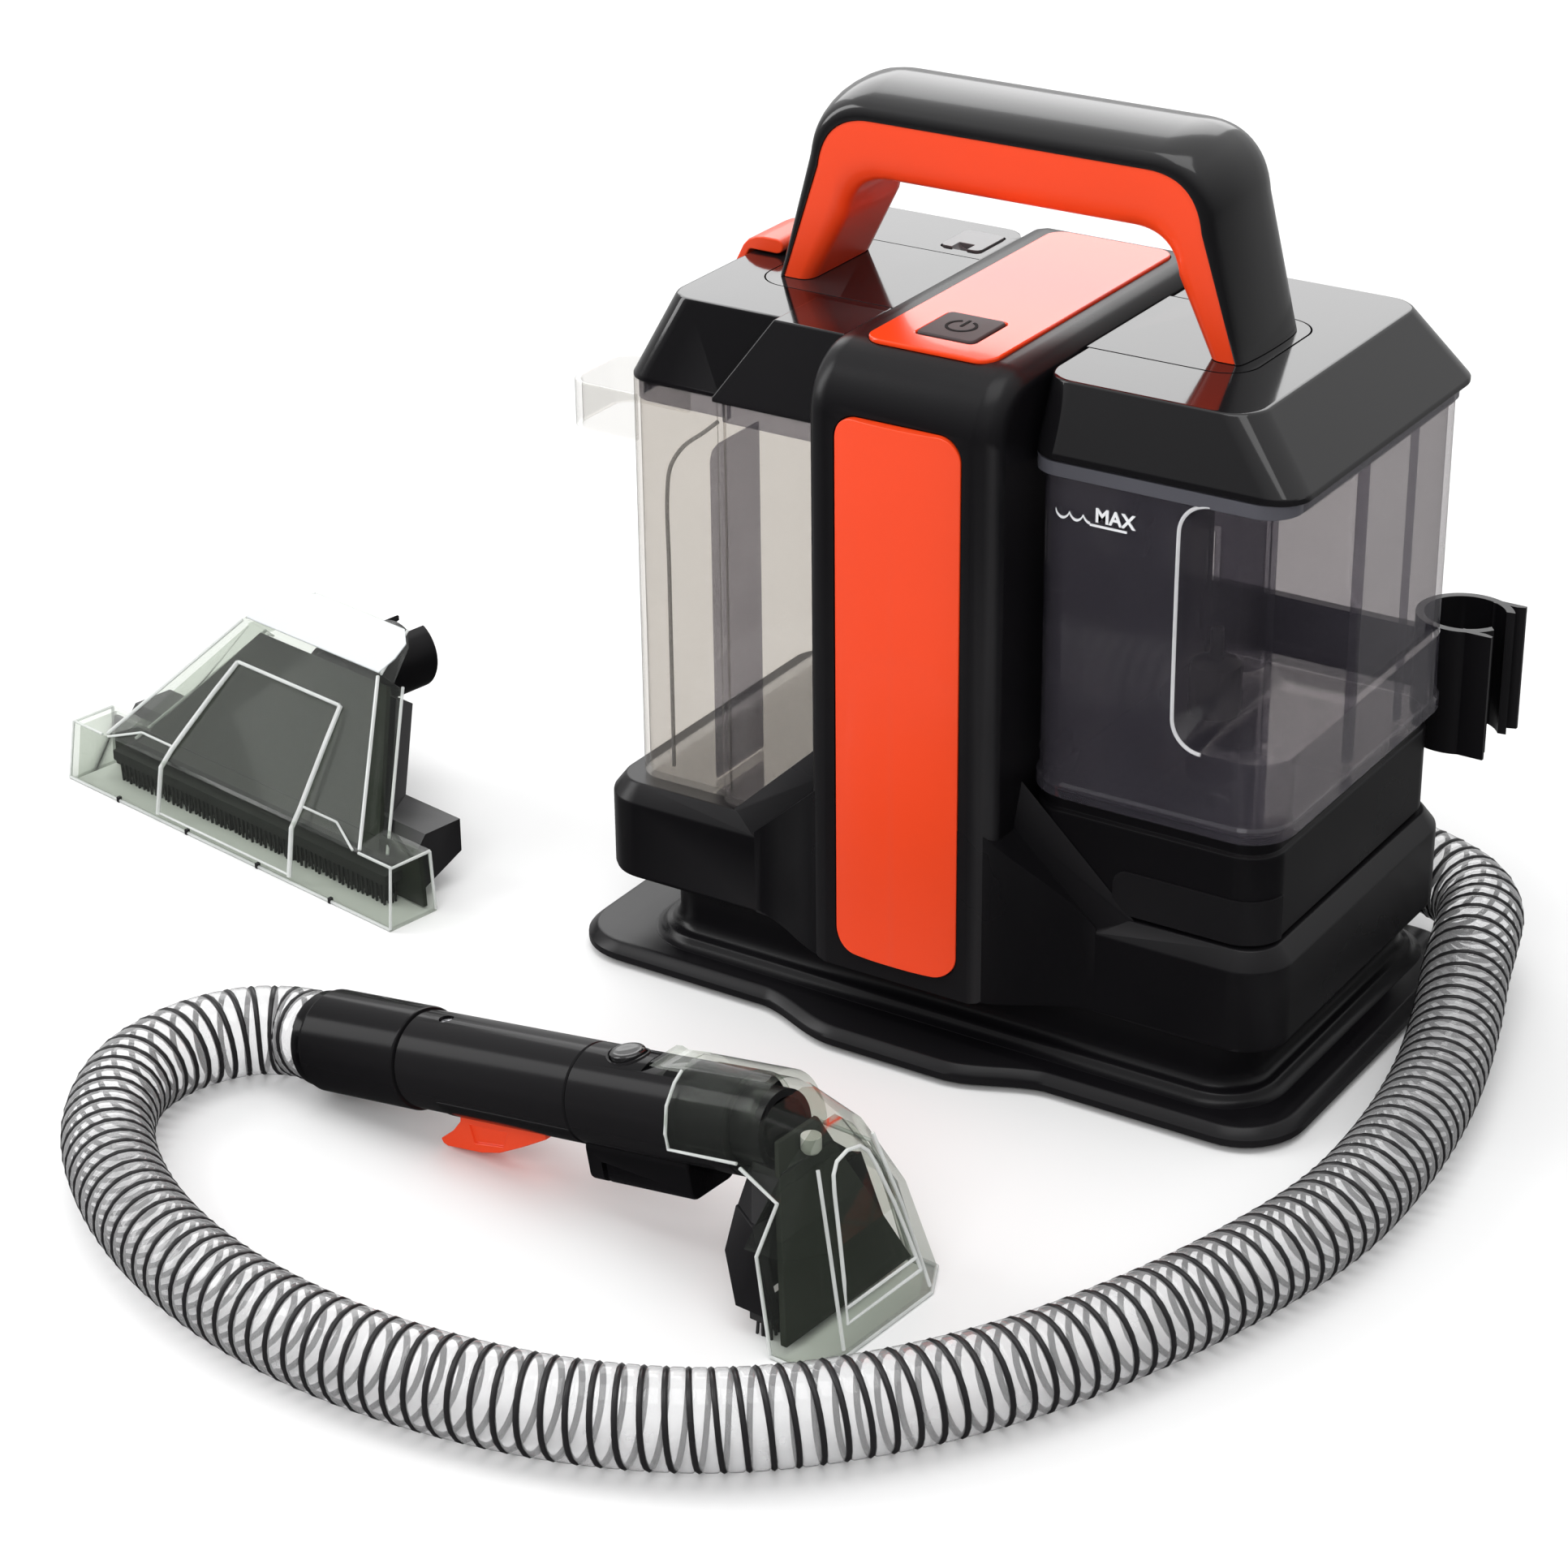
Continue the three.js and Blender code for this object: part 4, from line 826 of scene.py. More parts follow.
liner_arch = arch(0.091, 0.073, 0.347, 0.018)
seam_arch = arch(0.1035, 0.084, 0.372, 0.022)
outer_arch = arch(0.108, 0.092, 0.384, 0.026)
shell_section = [
    (-0.0250, 0.0), (-0.0252, 0.12), (-0.0248, 0.30), (-0.0236, 0.46), (-0.0215, 0.58), (-0.0180, 0.70),
    (-0.0130, 0.82), (-0.0070, 0.92), (0.0, 0.98), (0.0080, 1.0), (0.0140, 0.97), (0.0190, 0.88),
    (0.0230, 0.70), (0.0252, 0.46), (0.0260, 0.20), (0.0260, 0.0),
]
handle_shell = arch_band("handle_casing", seam_arch, outer_arch, shell_section)
mount(soften(handle_shell, 0, angle=50), gloss_black, replaced=["handle_shell"])
liner_section = [
    (-0.0244, 0.985), (-0.0248, 0.90), (-0.0248, 0.42), (-0.0242, 0.24), (-0.0226, 0.10), (-0.0200, 0.02),
    (-0.0170, 0.0), (0.0190, 0.0), (0.0225, 0.04), (0.0248, 0.18), (0.0256, 0.40), (0.0256, 0.985),
]
handle_liner = arch_band("handle_liner", liner_arch, seam_arch, liner_section)
mount(soften(handle_liner, 0, angle=50), orange_plastic, replaced=["handle_trim"])
lid_gloss = moulded(
    "lid_gloss", (0.005, 0.0047, 0.0055), 0.09, coat=0.30, patchiness=0.12, grain=0.05, shine=0.35,
)
for side, word in ((-1, "left"), (1, "right")):
    saddle = upright(
        f"handle_saddle_{word}",
        [(side * x, y) for x, y in rounded_rectangle(0.0440, -0.035, 0.112, 0.035, 0.0138, 12)],
        0.288, 0.300,
    )
    square = block(
        "square", *sorted((side * 0.0440, side * 0.070)), -0.035, 0.035, 0.288, 0.300
    )
    fuse(saddle, square)
    mount(soften(saddle, 0.0006, 3), lid_gloss, replaced=[f"handle_base_{word}"])

# ---------------------------------------------------------------- clean tank
# A smoke-tinted clear box, open at the top, in two steps: the part next to the column stands
# a little further forward. A rolled rib frames the window in the outer part, a partition
# stands behind it, and a rim band runs round under the lid.
TANK_BOTTOM, CLEAN_TOP, TANK_WALL = 0.081, 0.262, 0.0025
smoke_clear = clear_plastic("smoke_clear", (0.90, 0.885, 0.865), (0.26, 0.25, 0.27), 0.03, 0.03, 0.5, 20)
CLEAN_OUTER = (-0.151, -0.075, -0.084, 0.084, 0.012)
CLEAN_INNER = (-0.104, -0.0795, -0.0445, 0.084, 0.006)


def tank_walls(name, rectangles, low, high, wall=TANK_WALL):
    """An open-topped tank whose plan is the joined outline of rounded rectangles."""
    foot = low + wall
    rings = [(-0.0012, low), (-0.0003, low + 0.0005), (0.0, low + 0.0014), (0.0, high)]
    bodies = []
    for k, rectangle in enumerate(rectangles):
        bodies.append(
            stack(
                f"{name}_{k}",
                [[(x, y, z) for x, y in rounded_rectangle(*grown(rectangle, out), 10)] for out, z in rings],
            )
        )
    fuse(bodies[0], *bodies[1:])
    for k, rectangle in enumerate(rectangles):
        carve(
            bodies[0],
            upright("hollow", rounded_rectangle(*grown(rectangle, -wall), 10), foot, high + 0.01),
        )
    bodies[0].name = name
    return bodies[0]


clean_tank = tank_walls("clean_tank_walls", [CLEAN_OUTER, CLEAN_INNER], TANK_BOTTOM, CLEAN_TOP)
PORT_Y, PORT_Z = 0.020, 0.100
carve(clean_tank, rod("port", (-0.052, PORT_Y, PORT_Z), (-0.040, PORT_Y, PORT_Z), 0.0063))
mount(soften(clean_tank, 0.0005, 2, 40), smoke_clear, "clean_tank", ["clean_tank"])


def bead_along(name, points, radius, spacing=0.002, sides=10):
    """A round bead on a smooth line through the points."""
    line, _ = smooth_line(points, spacing)
    first, second = carried_axes(line)
    rings = [
        [
            Vector(place) + Vector(a) * radius * math.cos(k / sides * math.tau)
            + Vector(b) * radius * math.sin(k / sides * math.tau)
            for k in range(sides)
        ]
        for place, a, b in zip(line, first, second)
    ]
    return stack(name, rings)


rib_face = CLEAN_OUTER[1] + TANK_WALL + 0.0006
window_rib = bead_along(
    "clean_tank_window_rib",
    [
        (-0.1320, rib_face, 0.088), (-0.1320, rib_face, 0.130), (-0.1320, rib_face, 0.180),
        (-0.1320, rib_face, 0.214), (-0.1300, rib_face, 0.2265), (-0.1235, rib_face, 0.2365),
        (-0.1130, rib_face, 0.2450), (-0.1060, rib_face, 0.2510),
    ],
    0.0009,
)
clear_rib = clear_plastic("clear_rib", (0.55, 0.54, 0.53), (0.5, 0.5, 0.5), 0.25, 0.05)
mount(window_rib, clear_rib, "clean_tank")
smoke_panel = clear_plastic("smoke_panel", (0.70, 0.69, 0.72), (0.16, 0.155, 0.18), 0.12, 0.05)
partition_face = [
    (-0.066, 0.0845), (-0.030, 0.0845), (-0.030, 0.2360), (-0.0600, 0.2360), (-0.0645, 0.2340),
    (-0.066, 0.2300),
]
partition = sideways("clean_tank_partition", partition_face, -0.1145, -0.1130)
mount(soften(partition, 0.0004, 2), smoke_panel, "clean_tank")
inner_face = [(-0.074, 0.0845), (0.078, 0.0845), (0.078, 0.255), (-0.074, 0.255)]
inner_wall = sideways("clean_tank_inner_wall", inner_face, -0.0505, -0.0490)
mount(soften(inner_wall, 0.0004, 2), smoke_panel, "clean_tank")
rim_band = []
for k, (rectangle, out) in enumerate(((CLEAN_OUTER, -0.0002), (CLEAN_INNER, -0.0002))):
    rim_band.append(
        stack(
            f"rim_{k}",
            [
                [(x, y, z) for x, y in rounded_rectangle(*grown(rectangle, inset), 10)]
                for inset, z in ((-0.0028, 0.2535), (-0.0021, 0.2538), (-0.0021, 0.2621), (-0.0028, 0.2624))
            ],
        )
    )
clean_rim = fuse(rim_band[0], rim_band[1])
clean_rim.name = "clean_tank_rim_band"
for rectangle in (CLEAN_OUTER, CLEAN_INNER):
    carve(clean_rim, upright("gap", rounded_rectangle(*grown(rectangle, -0.0040), 8), 0.24, 0.28))
mount(soften(clean_rim, 0), smoke_panel, "clean_tank")
water_valve = rod("clean_tank_valve_stem", (-0.0565, PORT_Y, PORT_Z), (-0.0380, PORT_Y, PORT_Z), 0.006)
carve(water_valve, rod("bore", (-0.06, PORT_Y, PORT_Z), (-0.03, PORT_Y, PORT_Z), 0.0035))
fuse(water_valve, stack("collar", [
    [(-0.0568 + x, PORT_Y + r * math.cos(k / 32 * math.tau), PORT_Z + r * math.sin(k / 32 * math.tau))
     for k in range(32)]
    for r, x in ((0.0060, 0.0034), (0.0075, 0.0036), (0.0075, 0.0052), (0.0060, 0.0054))
]))
white_acetal = moulded("white_acetal", (0.72, 0.71, 0.68), 0.4, grain=0.2)
mount(soften(water_valve, 0.0004, 2), white_acetal, "clean_tank", ["clean_tank_valve"])

# ---------------------------------------------------------------- clean tank lid, flap and latch
# A polished black lid with sloping sides. It steps up where the tank does, along a slanting
# line, is cut away for the handle's saddle, and holds a grey filler flap and an orange latch.
LID_TOP = 0.300
lid_foot = 0.2623


def lid_body(name, low_plan, high_plan, foot, skirt, steps=12):
    """A lid from its skirt up its slopes to a flat top, with softly rounded edges."""
    low = rounded_rectangle(*low_plan, steps)
    high = rounded_rectangle(*high_plan, steps)
    lift = LID_TOP - foot - skirt

    def between(share, z):
        return [(a[0] + (b[0] - a[0]) * share, a[1] + (b[1] - a[1]) * share, z) for a, b in zip(low, high)]

    rings = [
        [(x, y, foot) for x, y in rounded_rectangle(*grown(low_plan, -0.0008), steps)],
        between(0.0, foot + 0.0007),
        between(0.0, foot + skirt - 0.0003),
        between(0.02, foot + skirt + 0.0004),
        between(0.965, foot + skirt + lift * 0.965),
        between(1.0, LID_TOP - 0.0004),
        [(x, y, LID_TOP) for x, y in rounded_rectangle(*grown(high_plan, -0.0012), steps)],
    ]
    return stack(name, rings)


clean_lid = lid_body(
    "clean_tank_lid_moulding",
    (-0.151, -0.075, -0.0445, 0.084, 0.012), (-0.133, -0.068, -0.0445, 0.078, 0.012), lid_foot, 0.0022,
)
step_low = [(-0.1040, -0.0795), (-0.0445, -0.0795), (-0.0445, -0.040), (-0.1040, -0.040)]
step_high = [(-0.0780, -0.0725), (-0.0445, -0.0725), (-0.0445, -0.040), (-0.0780, -0.040)]
raised = stack(
    "raised",
    [
        [(x, y, lid_foot) for x, y in step_low],
        [(x, y, lid_foot + 0.002) for x, y in step_low],
        [(x, y, LID_TOP + 0.0002) for x, y in step_high],
    ],
)
fuse(clean_lid, soften(raised, 0.0008, 3))
saddle_notch = upright(
    "saddle_notch", [(-x, y) for x, y in rounded_rectangle(0.020, -0.0356, 0.1126, 0.0356, 0.0142, 12)],
    0.2875, 0.31,
)
flap_seat = upright("flap_seat", rounded_rectangle(-0.0692, 0.0418, -0.0488, 0.0662, 0.003, 6), 0.2975, 0.31)
lid_hollow = upright(
    "lid_hollow", rounded_rectangle(-0.1300, -0.0660, -0.0475, 0.0755, 0.010, 8), 0.2600, 0.2840
)
carve(clean_lid, saddle_notch, flap_seat, lid_hollow)
mount(soften(clean_lid, 0.0004, 2, 40), lid_gloss, "clean_tank", ["clean_tank_lid"])

grey_flap = moulded("grey_flap", (0.10, 0.10, 0.105), 0.3, coat=0.4, grain=0.2)
filler_flap = upright(
    "filler_flap_key", rounded_rectangle(-0.0686, 0.0424, -0.0494, 0.0656, 0.003, 8), 0.2978, 0.3008,
)
finger_dip = rod("finger_dip", (-0.059, 0.040, 0.3022), (-0.059, 0.049, 0.3022), 0.0040)
carve(filler_flap, finger_dip)
mount(soften(filler_flap, 0.0006, 3), grey_flap, "filler_flap", ["filler_flap"])

latch_outline = [
    (-0.1205, 0.3072), (-0.1270, 0.3072), (-0.1310, 0.3066), (-0.1345, 0.3050), (-0.1372, 0.3021),
    (-0.1460, 0.2849), (-0.1546, 0.2681), (-0.1548, 0.2664), (-0.1538, 0.2654), (-0.1516, 0.2660),
    (-0.1342, 0.3006), (-0.1330, 0.3009), (-0.1205, 0.3008), (-0.1188, 0.3013), (-0.1176, 0.3026),
    (-0.1173, 0.3040), (-0.1177, 0.3055), (-0.1188, 0.3067),
]
latch = across("clean_tank_latch_lever", latch_outline, -0.004, 0.026)
mount(soften(latch, 0.0011, 3, 35), orange_plastic, "clean_tank_latch", ["clean_tank_latch"])

# The clear grip at the tank's outer side, a flat loop glued on below the lid.
grip = upright(
    "clean_tank_grip_loop", rounded_rectangle(-0.187, -0.066, -0.140, -0.024, 0.0105, 12), 0.231, 0.252,
)
carve(
    grip,
    upright("grip_space", rounded_rectangle(-0.1842, -0.0632, -0.130, -0.0268, 0.008, 12), 0.22, 0.26),
    block("grip_end", -0.1514, -0.130, -0.08, 0.0, 0.22, 0.26),
)
grip_clear = clear_plastic("grip_clear", (0.93, 0.925, 0.915), (0.4, 0.4, 0.4), 0.03, 0.04)
mount(soften(grip, 0.0008, 3, 40), grip_clear, "clean_tank", ["clean_tank_grip"])

# ---------------------------------------------------------------- dirty tank
# The same smoke-tinted plastic, with a hand recess moulded into its front right corner, a
# flange at its foot and a rim under its lid. A level mark is printed inside its front.
DIRTY_TOP, TANK_FLOOR = 0.271, 0.128
RECESS_LEFT, RECESS_BACK, RECESS_FLOOR, RECESS_TOP = 0.112, -0.0045, 0.163, 0.2655
DIRTY_PLAN = (0.0445, -0.085, 0.158, 0.086, 0.020)
smoke_dark = clear_plastic("smoke_dark", (0.80, 0.785, 0.785), (0.17, 0.16, 0.20), 0.11, 0.03, 0.3, 20, 0.03)


def hollow_body(name, plan, low, high, wall, steps=12):
    return upright(name, rounded_rectangle(*grown(plan, -wall), steps), low, high)


dirty_tank = stack(
    "dirty_tank_walls",
    [
        [(x, y, z) for x, y in rounded_rectangle(*grown(DIRTY_PLAN, out), 12)]
        for out, z in (
            (-0.0010, TANK_FLOOR), (0.0, TANK_FLOOR + 0.0010), (0.0, TANK_FLOOR + 0.0060),
            (-0.0012, TANK_FLOOR + 0.0072), (-0.0014, RECESS_FLOOR), (-0.0014, DIRTY_TOP),
        )
    ],
)
recess_outline = rounded_rectangle(RECESS_LEFT, RECESS_FLOOR, 0.30, RECESS_TOP, 0.0125, 10)
recess = across("recess", recess_outline, -0.12, RECESS_BACK)
recess_side = upright(
    "recess_side", rounded_rectangle(0.1535, -0.12, 0.20, 0.20, 0.0005, 2), RECESS_FLOOR, RECESS_TOP
)
carve(dirty_tank, soften(recess, 0), recess_side)
dirty_hollow = hollow_body(
    "dirty_hollow", (0.0445, -0.0836, 0.1566, 0.0846, 0.0186), TANK_FLOOR + TANK_WALL, 0.30, TANK_WALL,
)
recess_wall = across(
    "recess_wall",
    rounded_rectangle(RECESS_LEFT - TANK_WALL, RECESS_FLOOR - TANK_WALL, 0.30, 0.2740, 0.0150, 10),
    -0.12, RECESS_BACK + TANK_WALL,
)
side_wall = upright(
    "side_wall", rounded_rectangle(0.1510, -0.12, 0.20, 0.20, 0.0005, 2), RECESS_FLOOR - TANK_WALL, 0.2740,
)
carve(dirty_hollow, recess_wall, side_wall)
carve(dirty_tank, dirty_hollow)
WASTE_Y, WASTE_Z = 0.060, 0.205
carve(dirty_tank, rod("port", (0.040, WASTE_Y, WASTE_Z), (0.050, WASTE_Y, WASTE_Z), 0.0133))
mount(soften(dirty_tank, 0.0005, 2, 40), smoke_dark, "dirty_tank", ["dirty_tank"])

# A milky bead along the recess's front edge: a painted highlight where that edge catches the light.
edge_outline = rounded_rectangle(
    RECESS_LEFT - 0.0004, RECESS_FLOOR - 0.0004, 0.30, RECESS_TOP + 0.0004, 0.0128, 10,
)
edge_points = [(x, -0.0839, z) for x, z in edge_outline[10:-6] if x < 0.1400]
painted_edge_highlight = clear_plastic("painted_edge_highlight", (0.9, 0.9, 0.9), (0.85, 0.85, 0.87), 0.65, 0.05)
recess_edge = bead_along("dirty_tank_recess_highlight", edge_points, 0.0008, 0.0012, 8)
mount(recess_edge, painted_edge_highlight, "dirty_tank")
RIM_PLAN = (0.0445, -0.0846, 0.1560, 0.0850, 0.014)
rim_strip = stack(
    "dirty_tank_rim_strip",
    [
        [(x, y, z) for x, y in rounded_rectangle(*grown(RIM_PLAN, out), 12)]
        for out, z in ((-0.0008, 0.2650), (0.0, 0.2654), (0.0, 0.2710), (-0.0008, 0.2712))
    ],
)
carve(rim_strip, hollow_body("gap", RIM_PLAN, 0.25, 0.29, 0.0040))
rim_grey = moulded("rim_grey", (0.075, 0.075, 0.09), 0.22, coat=0.5, grain=0.1)
mount(soften(rim_strip, 0), rim_grey, "dirty_tank")

# Three upright ribs stiffen the tank behind the recess and at its right side.
for number, (x0, x1, y0, y1) in enumerate(
    ((0.1120, 0.1150, -0.0040, -0.0022), (0.1480, 0.1515, -0.0040, 0.0010), (0.1490, 0.1515, 0.0430, 0.0470))
):
    rib = block(f"dirty_tank_rib_{number + 1}", x0, x1, y0, y1, 0.1320, 0.2640)
    mount(soften(rib, 0.0006, 2), smoke_panel, "dirty_tank")

print_white = moulded("print_white", (0.85, 0.86, 0.88), 0.5, grain=0.0)
wave = []
for step in range(49):
    share = step / 48
    wave.append(
        (0.0585 + 0.0150 * share, 0.2488 + 0.0030 * (1 - abs(math.sin(share * math.pi * 2.5)) ** 0.6))
    )
level_mark = stack(
    "level_mark",
    [
        [
            (x, -0.0838, z - 0.0005), (x, -0.0838, z + 0.0005), (x, -0.0842, z + 0.0005),
            (x, -0.0842, z - 0.0005),
        ]
        for x, z in wave
    ],
)
underline = block("underline", 0.0735, 0.0895, -0.0842, -0.0838, 0.2478, 0.2487)
fuse(level_mark, underline)
mount(level_mark, print_white, "dirty_tank")
lettering = bpy.data.curves.new("level_word", "FONT")
lettering.body = "MAX"
lettering.size = 0.0080
lettering.extrude = 0.0002
lettering.offset = 0.0002
level_word = bpy.data.objects.new("level_word", lettering)
bpy.context.scene.collection.objects.link(level_word)
bpy.context.view_layer.update()
word_mesh = bpy.data.meshes.new_from_object(level_word.evaluated_get(bpy.context.evaluated_depsgraph_get()))
bpy.data.objects.remove(level_word)
level_word = bpy.data.objects.new("level_word", word_mesh)
bpy.context.scene.collection.objects.link(level_word)
word_mesh.transform(Matrix.Translation((0.0756, -0.0840, 0.2500)) @ Matrix.Rotation(math.radians(90), 4, "X"))
mount(level_word, print_white, "dirty_tank")

# ---------------------------------------------------------------- dirty tank base, lid and pipe
# The tank stands on a black tub with a raised panel that wraps its corner. A polished lid with
# wide slopes closes it, and inside a standpipe brings the dirty water in beside a float.
BASE_PLAN = (0.0445, -0.0795, 0.1535, 0.0815, 0.016)
dirty_base = stack(
    "dirty_tank_base_tub",
    [
        [(x, y, z) for x, y in rounded_rectangle(*grown(BASE_PLAN, out), 14)]
        for out, z in (
            (-0.0012, 0.081), (0.0, 0.0822), (0.0, 0.1180), (-0.0002, 0.1196), (-0.0018, 0.1206),
            (-0.0020, 0.1272), (-0.0024, 0.1277),
        )
    ],
)
panel_front = across(
    "panel_front", rounded_rectangle(0.0860, 0.0750, 0.20, 0.1010, 0.0065, 8), -0.0850, -0.0650
)
panel_skin = stack(
    "panel_skin",
    [
        [(x, y, z) for x, y in rounded_rectangle(*grown(BASE_PLAN, 0.0009), 14)] for z in (0.0815, 0.1300)
    ],
)
overlap(panel_front, panel_skin)
carve(panel_front, hollow_body("inside", BASE_PLAN, 0.06, 0.14, 0.0020))
panel_front.name = "dirty_tank_base_panel"
mount(soften(panel_front, 0.0006, 2, 40), satin_black, "dirty_tank")
carve(dirty_base, hollow_body("tub", BASE_PLAN, 0.0835, 0.14, 0.0035))
mount(soften(dirty_base, 0.0003, 2, 40), satin_black, "dirty_tank", ["dirty_tank_base"])

dirty_lid = lid_body(
    "dirty_tank_lid_moulding",
    (0.0445, -0.085, 0.160, 0.086, 0.014), (0.0445, -0.073, 0.135, 0.081, 0.014), 0.2713, 0.0030,
)
right_notch = upright(
    "right_notch", rounded_rectangle(0.020, -0.0356, 0.1126, 0.0356, 0.0142, 12), 0.2875, 0.31
)
right_hollow = upright(
    "right_hollow", rounded_rectangle(0.0475, -0.0720, 0.1330, 0.0780, 0.010, 8), 0.2700, 0.2840,
)
carve(dirty_lid, right_notch, right_hollow)
mount(soften(dirty_lid, 0.0004, 2, 40), lid_gloss, "dirty_tank", ["dirty_tank_lid"])

standpipe = rod("standpipe_tube", (0.070, WASTE_Y, 0.134), (0.070, WASTE_Y, 0.235), 0.012, 36)
fuse(standpipe, rod("arm", (0.0368, WASTE_Y, WASTE_Z), (0.072, WASTE_Y, WASTE_Z), 0.013, 36))
carve(
    standpipe,
    rod("bore", (0.070, WASTE_Y, 0.130), (0.070, WASTE_Y, 0.231), 0.0095, 36),
    rod("bore_arm", (0.030, WASTE_Y, WASTE_Z), (0.070, WASTE_Y, WASTE_Z), 0.0105, 36),
)
mount(soften(standpipe, 0.0004, 2), smoke_panel, "dirty_tank", ["dirty_standpipe"])
float_rings = [
    (0.0070, 0.1322), (0.0105, 0.1340), (0.0110, 0.1370), (0.0110, 0.1535), (0.0105, 0.1560),
    (0.0080, 0.1578), (0.0032, 0.1584), (0.0029, 0.1600), (0.0029, 0.1712), (0.0022, 0.1719),
]
float_body = stack(
    "float_body",
    [
        [
            (0.084 + r * math.cos(k / 36 * math.tau), 0.010 + r * math.sin(k / 36 * math.tau), z)
            for k in range(36)
        ]
        for r, z in float_rings
    ],
)
float_grey = moulded("float_grey", (0.05, 0.05, 0.055), 0.45, grain=0.3)
mount(soften(float_body, 0), float_grey, "float", ["float_ball"])

# ---------------------------------------------------------------- wand cradle
# A C-shaped clip in satin black nylon that holds the wand upright behind the dirty tank. It is
# one moulding with a flat bracket, which a post joins to the rear cover.
CRADLE_X, CRADLE_Y = 0.148, 0.117
cradle_half = []
for outer, sweep in ((0.0210, range(28, 333, 5)), (0.0175, range(332, 27, -5))):
    for degree in sweep:
        angle = math.radians(degree)
        cradle_half.append((CRADLE_X + outer * math.cos(angle), CRADLE_Y + outer * math.sin(angle)))
cradle = upright("wand_cradle_clip", cradle_half, 0.096, 0.153)
for side in (-1, 1):
    lip_inner, lip_outer = CRADLE_Y + side * 0.0163, CRADLE_Y + side * 0.0192
    lip = upright(
        "lip",
        [
            (CRADLE_X + 0.0060, lip_inner - side * 0.0006), (CRADLE_X + 0.0125, lip_inner),
            (CRADLE_X + 0.0165, lip_inner), (CRADLE_X + 0.0200, lip_inner + side * 0.0012),
            (CRADLE_X + 0.0200, lip_outer), (CRADLE_X + 0.0060, lip_outer),
        ],
        0.096, 0.153,
    )
    fuse(cradle, lip)
fuse(
    cradle,
    block("bracket", CRADLE_X - 0.046, CRADLE_X - 0.017, CRADLE_Y - 0.006, CRADLE_Y - 0.001, 0.104, 0.144),
    block("foot", 0.0140, CRADLE_X - 0.042, CRADLE_Y - 0.006, CRADLE_Y - 0.001, 0.104, 0.144),
    block("post", 0.0140, 0.0400, 0.0918, CRADLE_Y - 0.003, 0.118, 0.136),
)
mount(soften(cradle, 0.0009, 2, 40), satin_black, replaced=["wand_cradle"])

# ---------------------------------------------------------------- hose spout and hose rest
# Satin black mouldings at the back. The quarter-turn spout leads the hose out to the right, and
# a small shelf with a turned-up lip holds it clear of the base plate.
REAR_WALL, SPOUT_X, SPOUT_Z, SPOUT_TURN = 0.0883, -0.137, 0.056, 0.024


def bent_pipe(name, path, outer, inner, sides=40):
    """A hollow pipe whose outside and bore follow the same smooth path."""
    line, _ = smooth_line(path, 0.002)
    first, second = carried_axes(line)
    rings = []
    for order, radius in ((range(len(line)), outer), (range(len(line) - 1, -1, -1), inner)):
        for k in order:
            rings.append(
                [
                    Vector(line[k]) + radius * (
                        Vector(first[k]) * math.cos(s / sides * math.tau)
                        + Vector(second[k]) * math.sin(s / sides * math.tau)
                    )
                    for s in range(sides)
                ]
            )
    return stack(name, rings, closed=True)


spout_path = []
for step in range(9):
    angle = math.radians(90 * step / 8)
    spout_path.append(
        (SPOUT_X + SPOUT_TURN * (1 - math.cos(angle)), REAR_WALL + SPOUT_TURN * math.sin(angle), SPOUT_Z)
    )
hose_spout = bent_pipe("hose_spout", spout_path, 0.0210, 0.0160)
mount(soften(hose_spout, 0.0008, 3, 40), satin_black, replaced=["hose_outlet"])
rest_side = [
    (REAR_WALL, 0.068), (REAR_WALL, 0.046), (0.1363, 0.046), (0.1363, 0.068), (0.1328, 0.068),
    (0.1328, 0.0545), (0.1300, 0.0510), (0.0950, 0.0510), (0.0923, 0.0545), (0.0923, 0.068),
]
hose_rest = sideways("hose_rest_shelf", rest_side, -0.028, -0.008)
mount(soften(hose_rest, 0.0009, 2, 40), satin_black, replaced=["hose_rest"])

# ---------------------------------------------------------------- rear cover, screws, gland and hooks
# A flat black cover closes the column behind, with seven air slots over the motor. Four
# cross-headed steel screws hold it. A rubber gland takes the power cord, which winds on two hooks.
COVER_BACK = 0.0913
rear_cover = across(
    "rear_cover_plate", rounded_rectangle(-0.041, 0.094, 0.041, 0.286, 0.006, 8), REAR_WALL, COVER_BACK,
)
slots = [
    across("slot", rounded_rectangle(-0.022, z, 0.022, z + 0.004, 0.0019, 6), 0.08, 0.10)
    for z in (0.170, 0.180, 0.190, 0.200, 0.210, 0.220, 0.230)
]
carve(rear_cover, rod("gland_hole", (0, 0.08, 0.118), (0, 0.10, 0.118), 0.007), *slots)
mount(soften(rear_cover, 0.0006, 2, 40), satin_black, replaced=["rear_cover"])
screw_steel = moulded("screw_steel", (0.45, 0.45, 0.47), 0.3, grain=0.2)
screw_steel.node_tree.nodes["Principled BSDF"].inputs["Metallic"].default_value = 1
for number, (x, z) in enumerate(((-0.035, 0.102), (0.035, 0.102), (-0.035, 0.278), (0.035, 0.278)), 1):
    head = rod(
        f"rear_screw_head_{number}", (x, COVER_BACK + 0.0003, z), (x, COVER_BACK + 0.0015, z), 0.003, 32,
    )
    carve(
        head,
        block("cross", x - 0.0018, x + 0.0018, COVER_BACK + 0.0008, 0.10, z - 0.0004, z + 0.0004),
        block("cross", x - 0.0004, x + 0.0004, COVER_BACK + 0.0008, 0.10, z - 0.0018, z + 0.0018),
    )
    mount(soften(head, 0.0003, 2, 50), screw_steel, replaced=[f"rear_screw_{number}"])


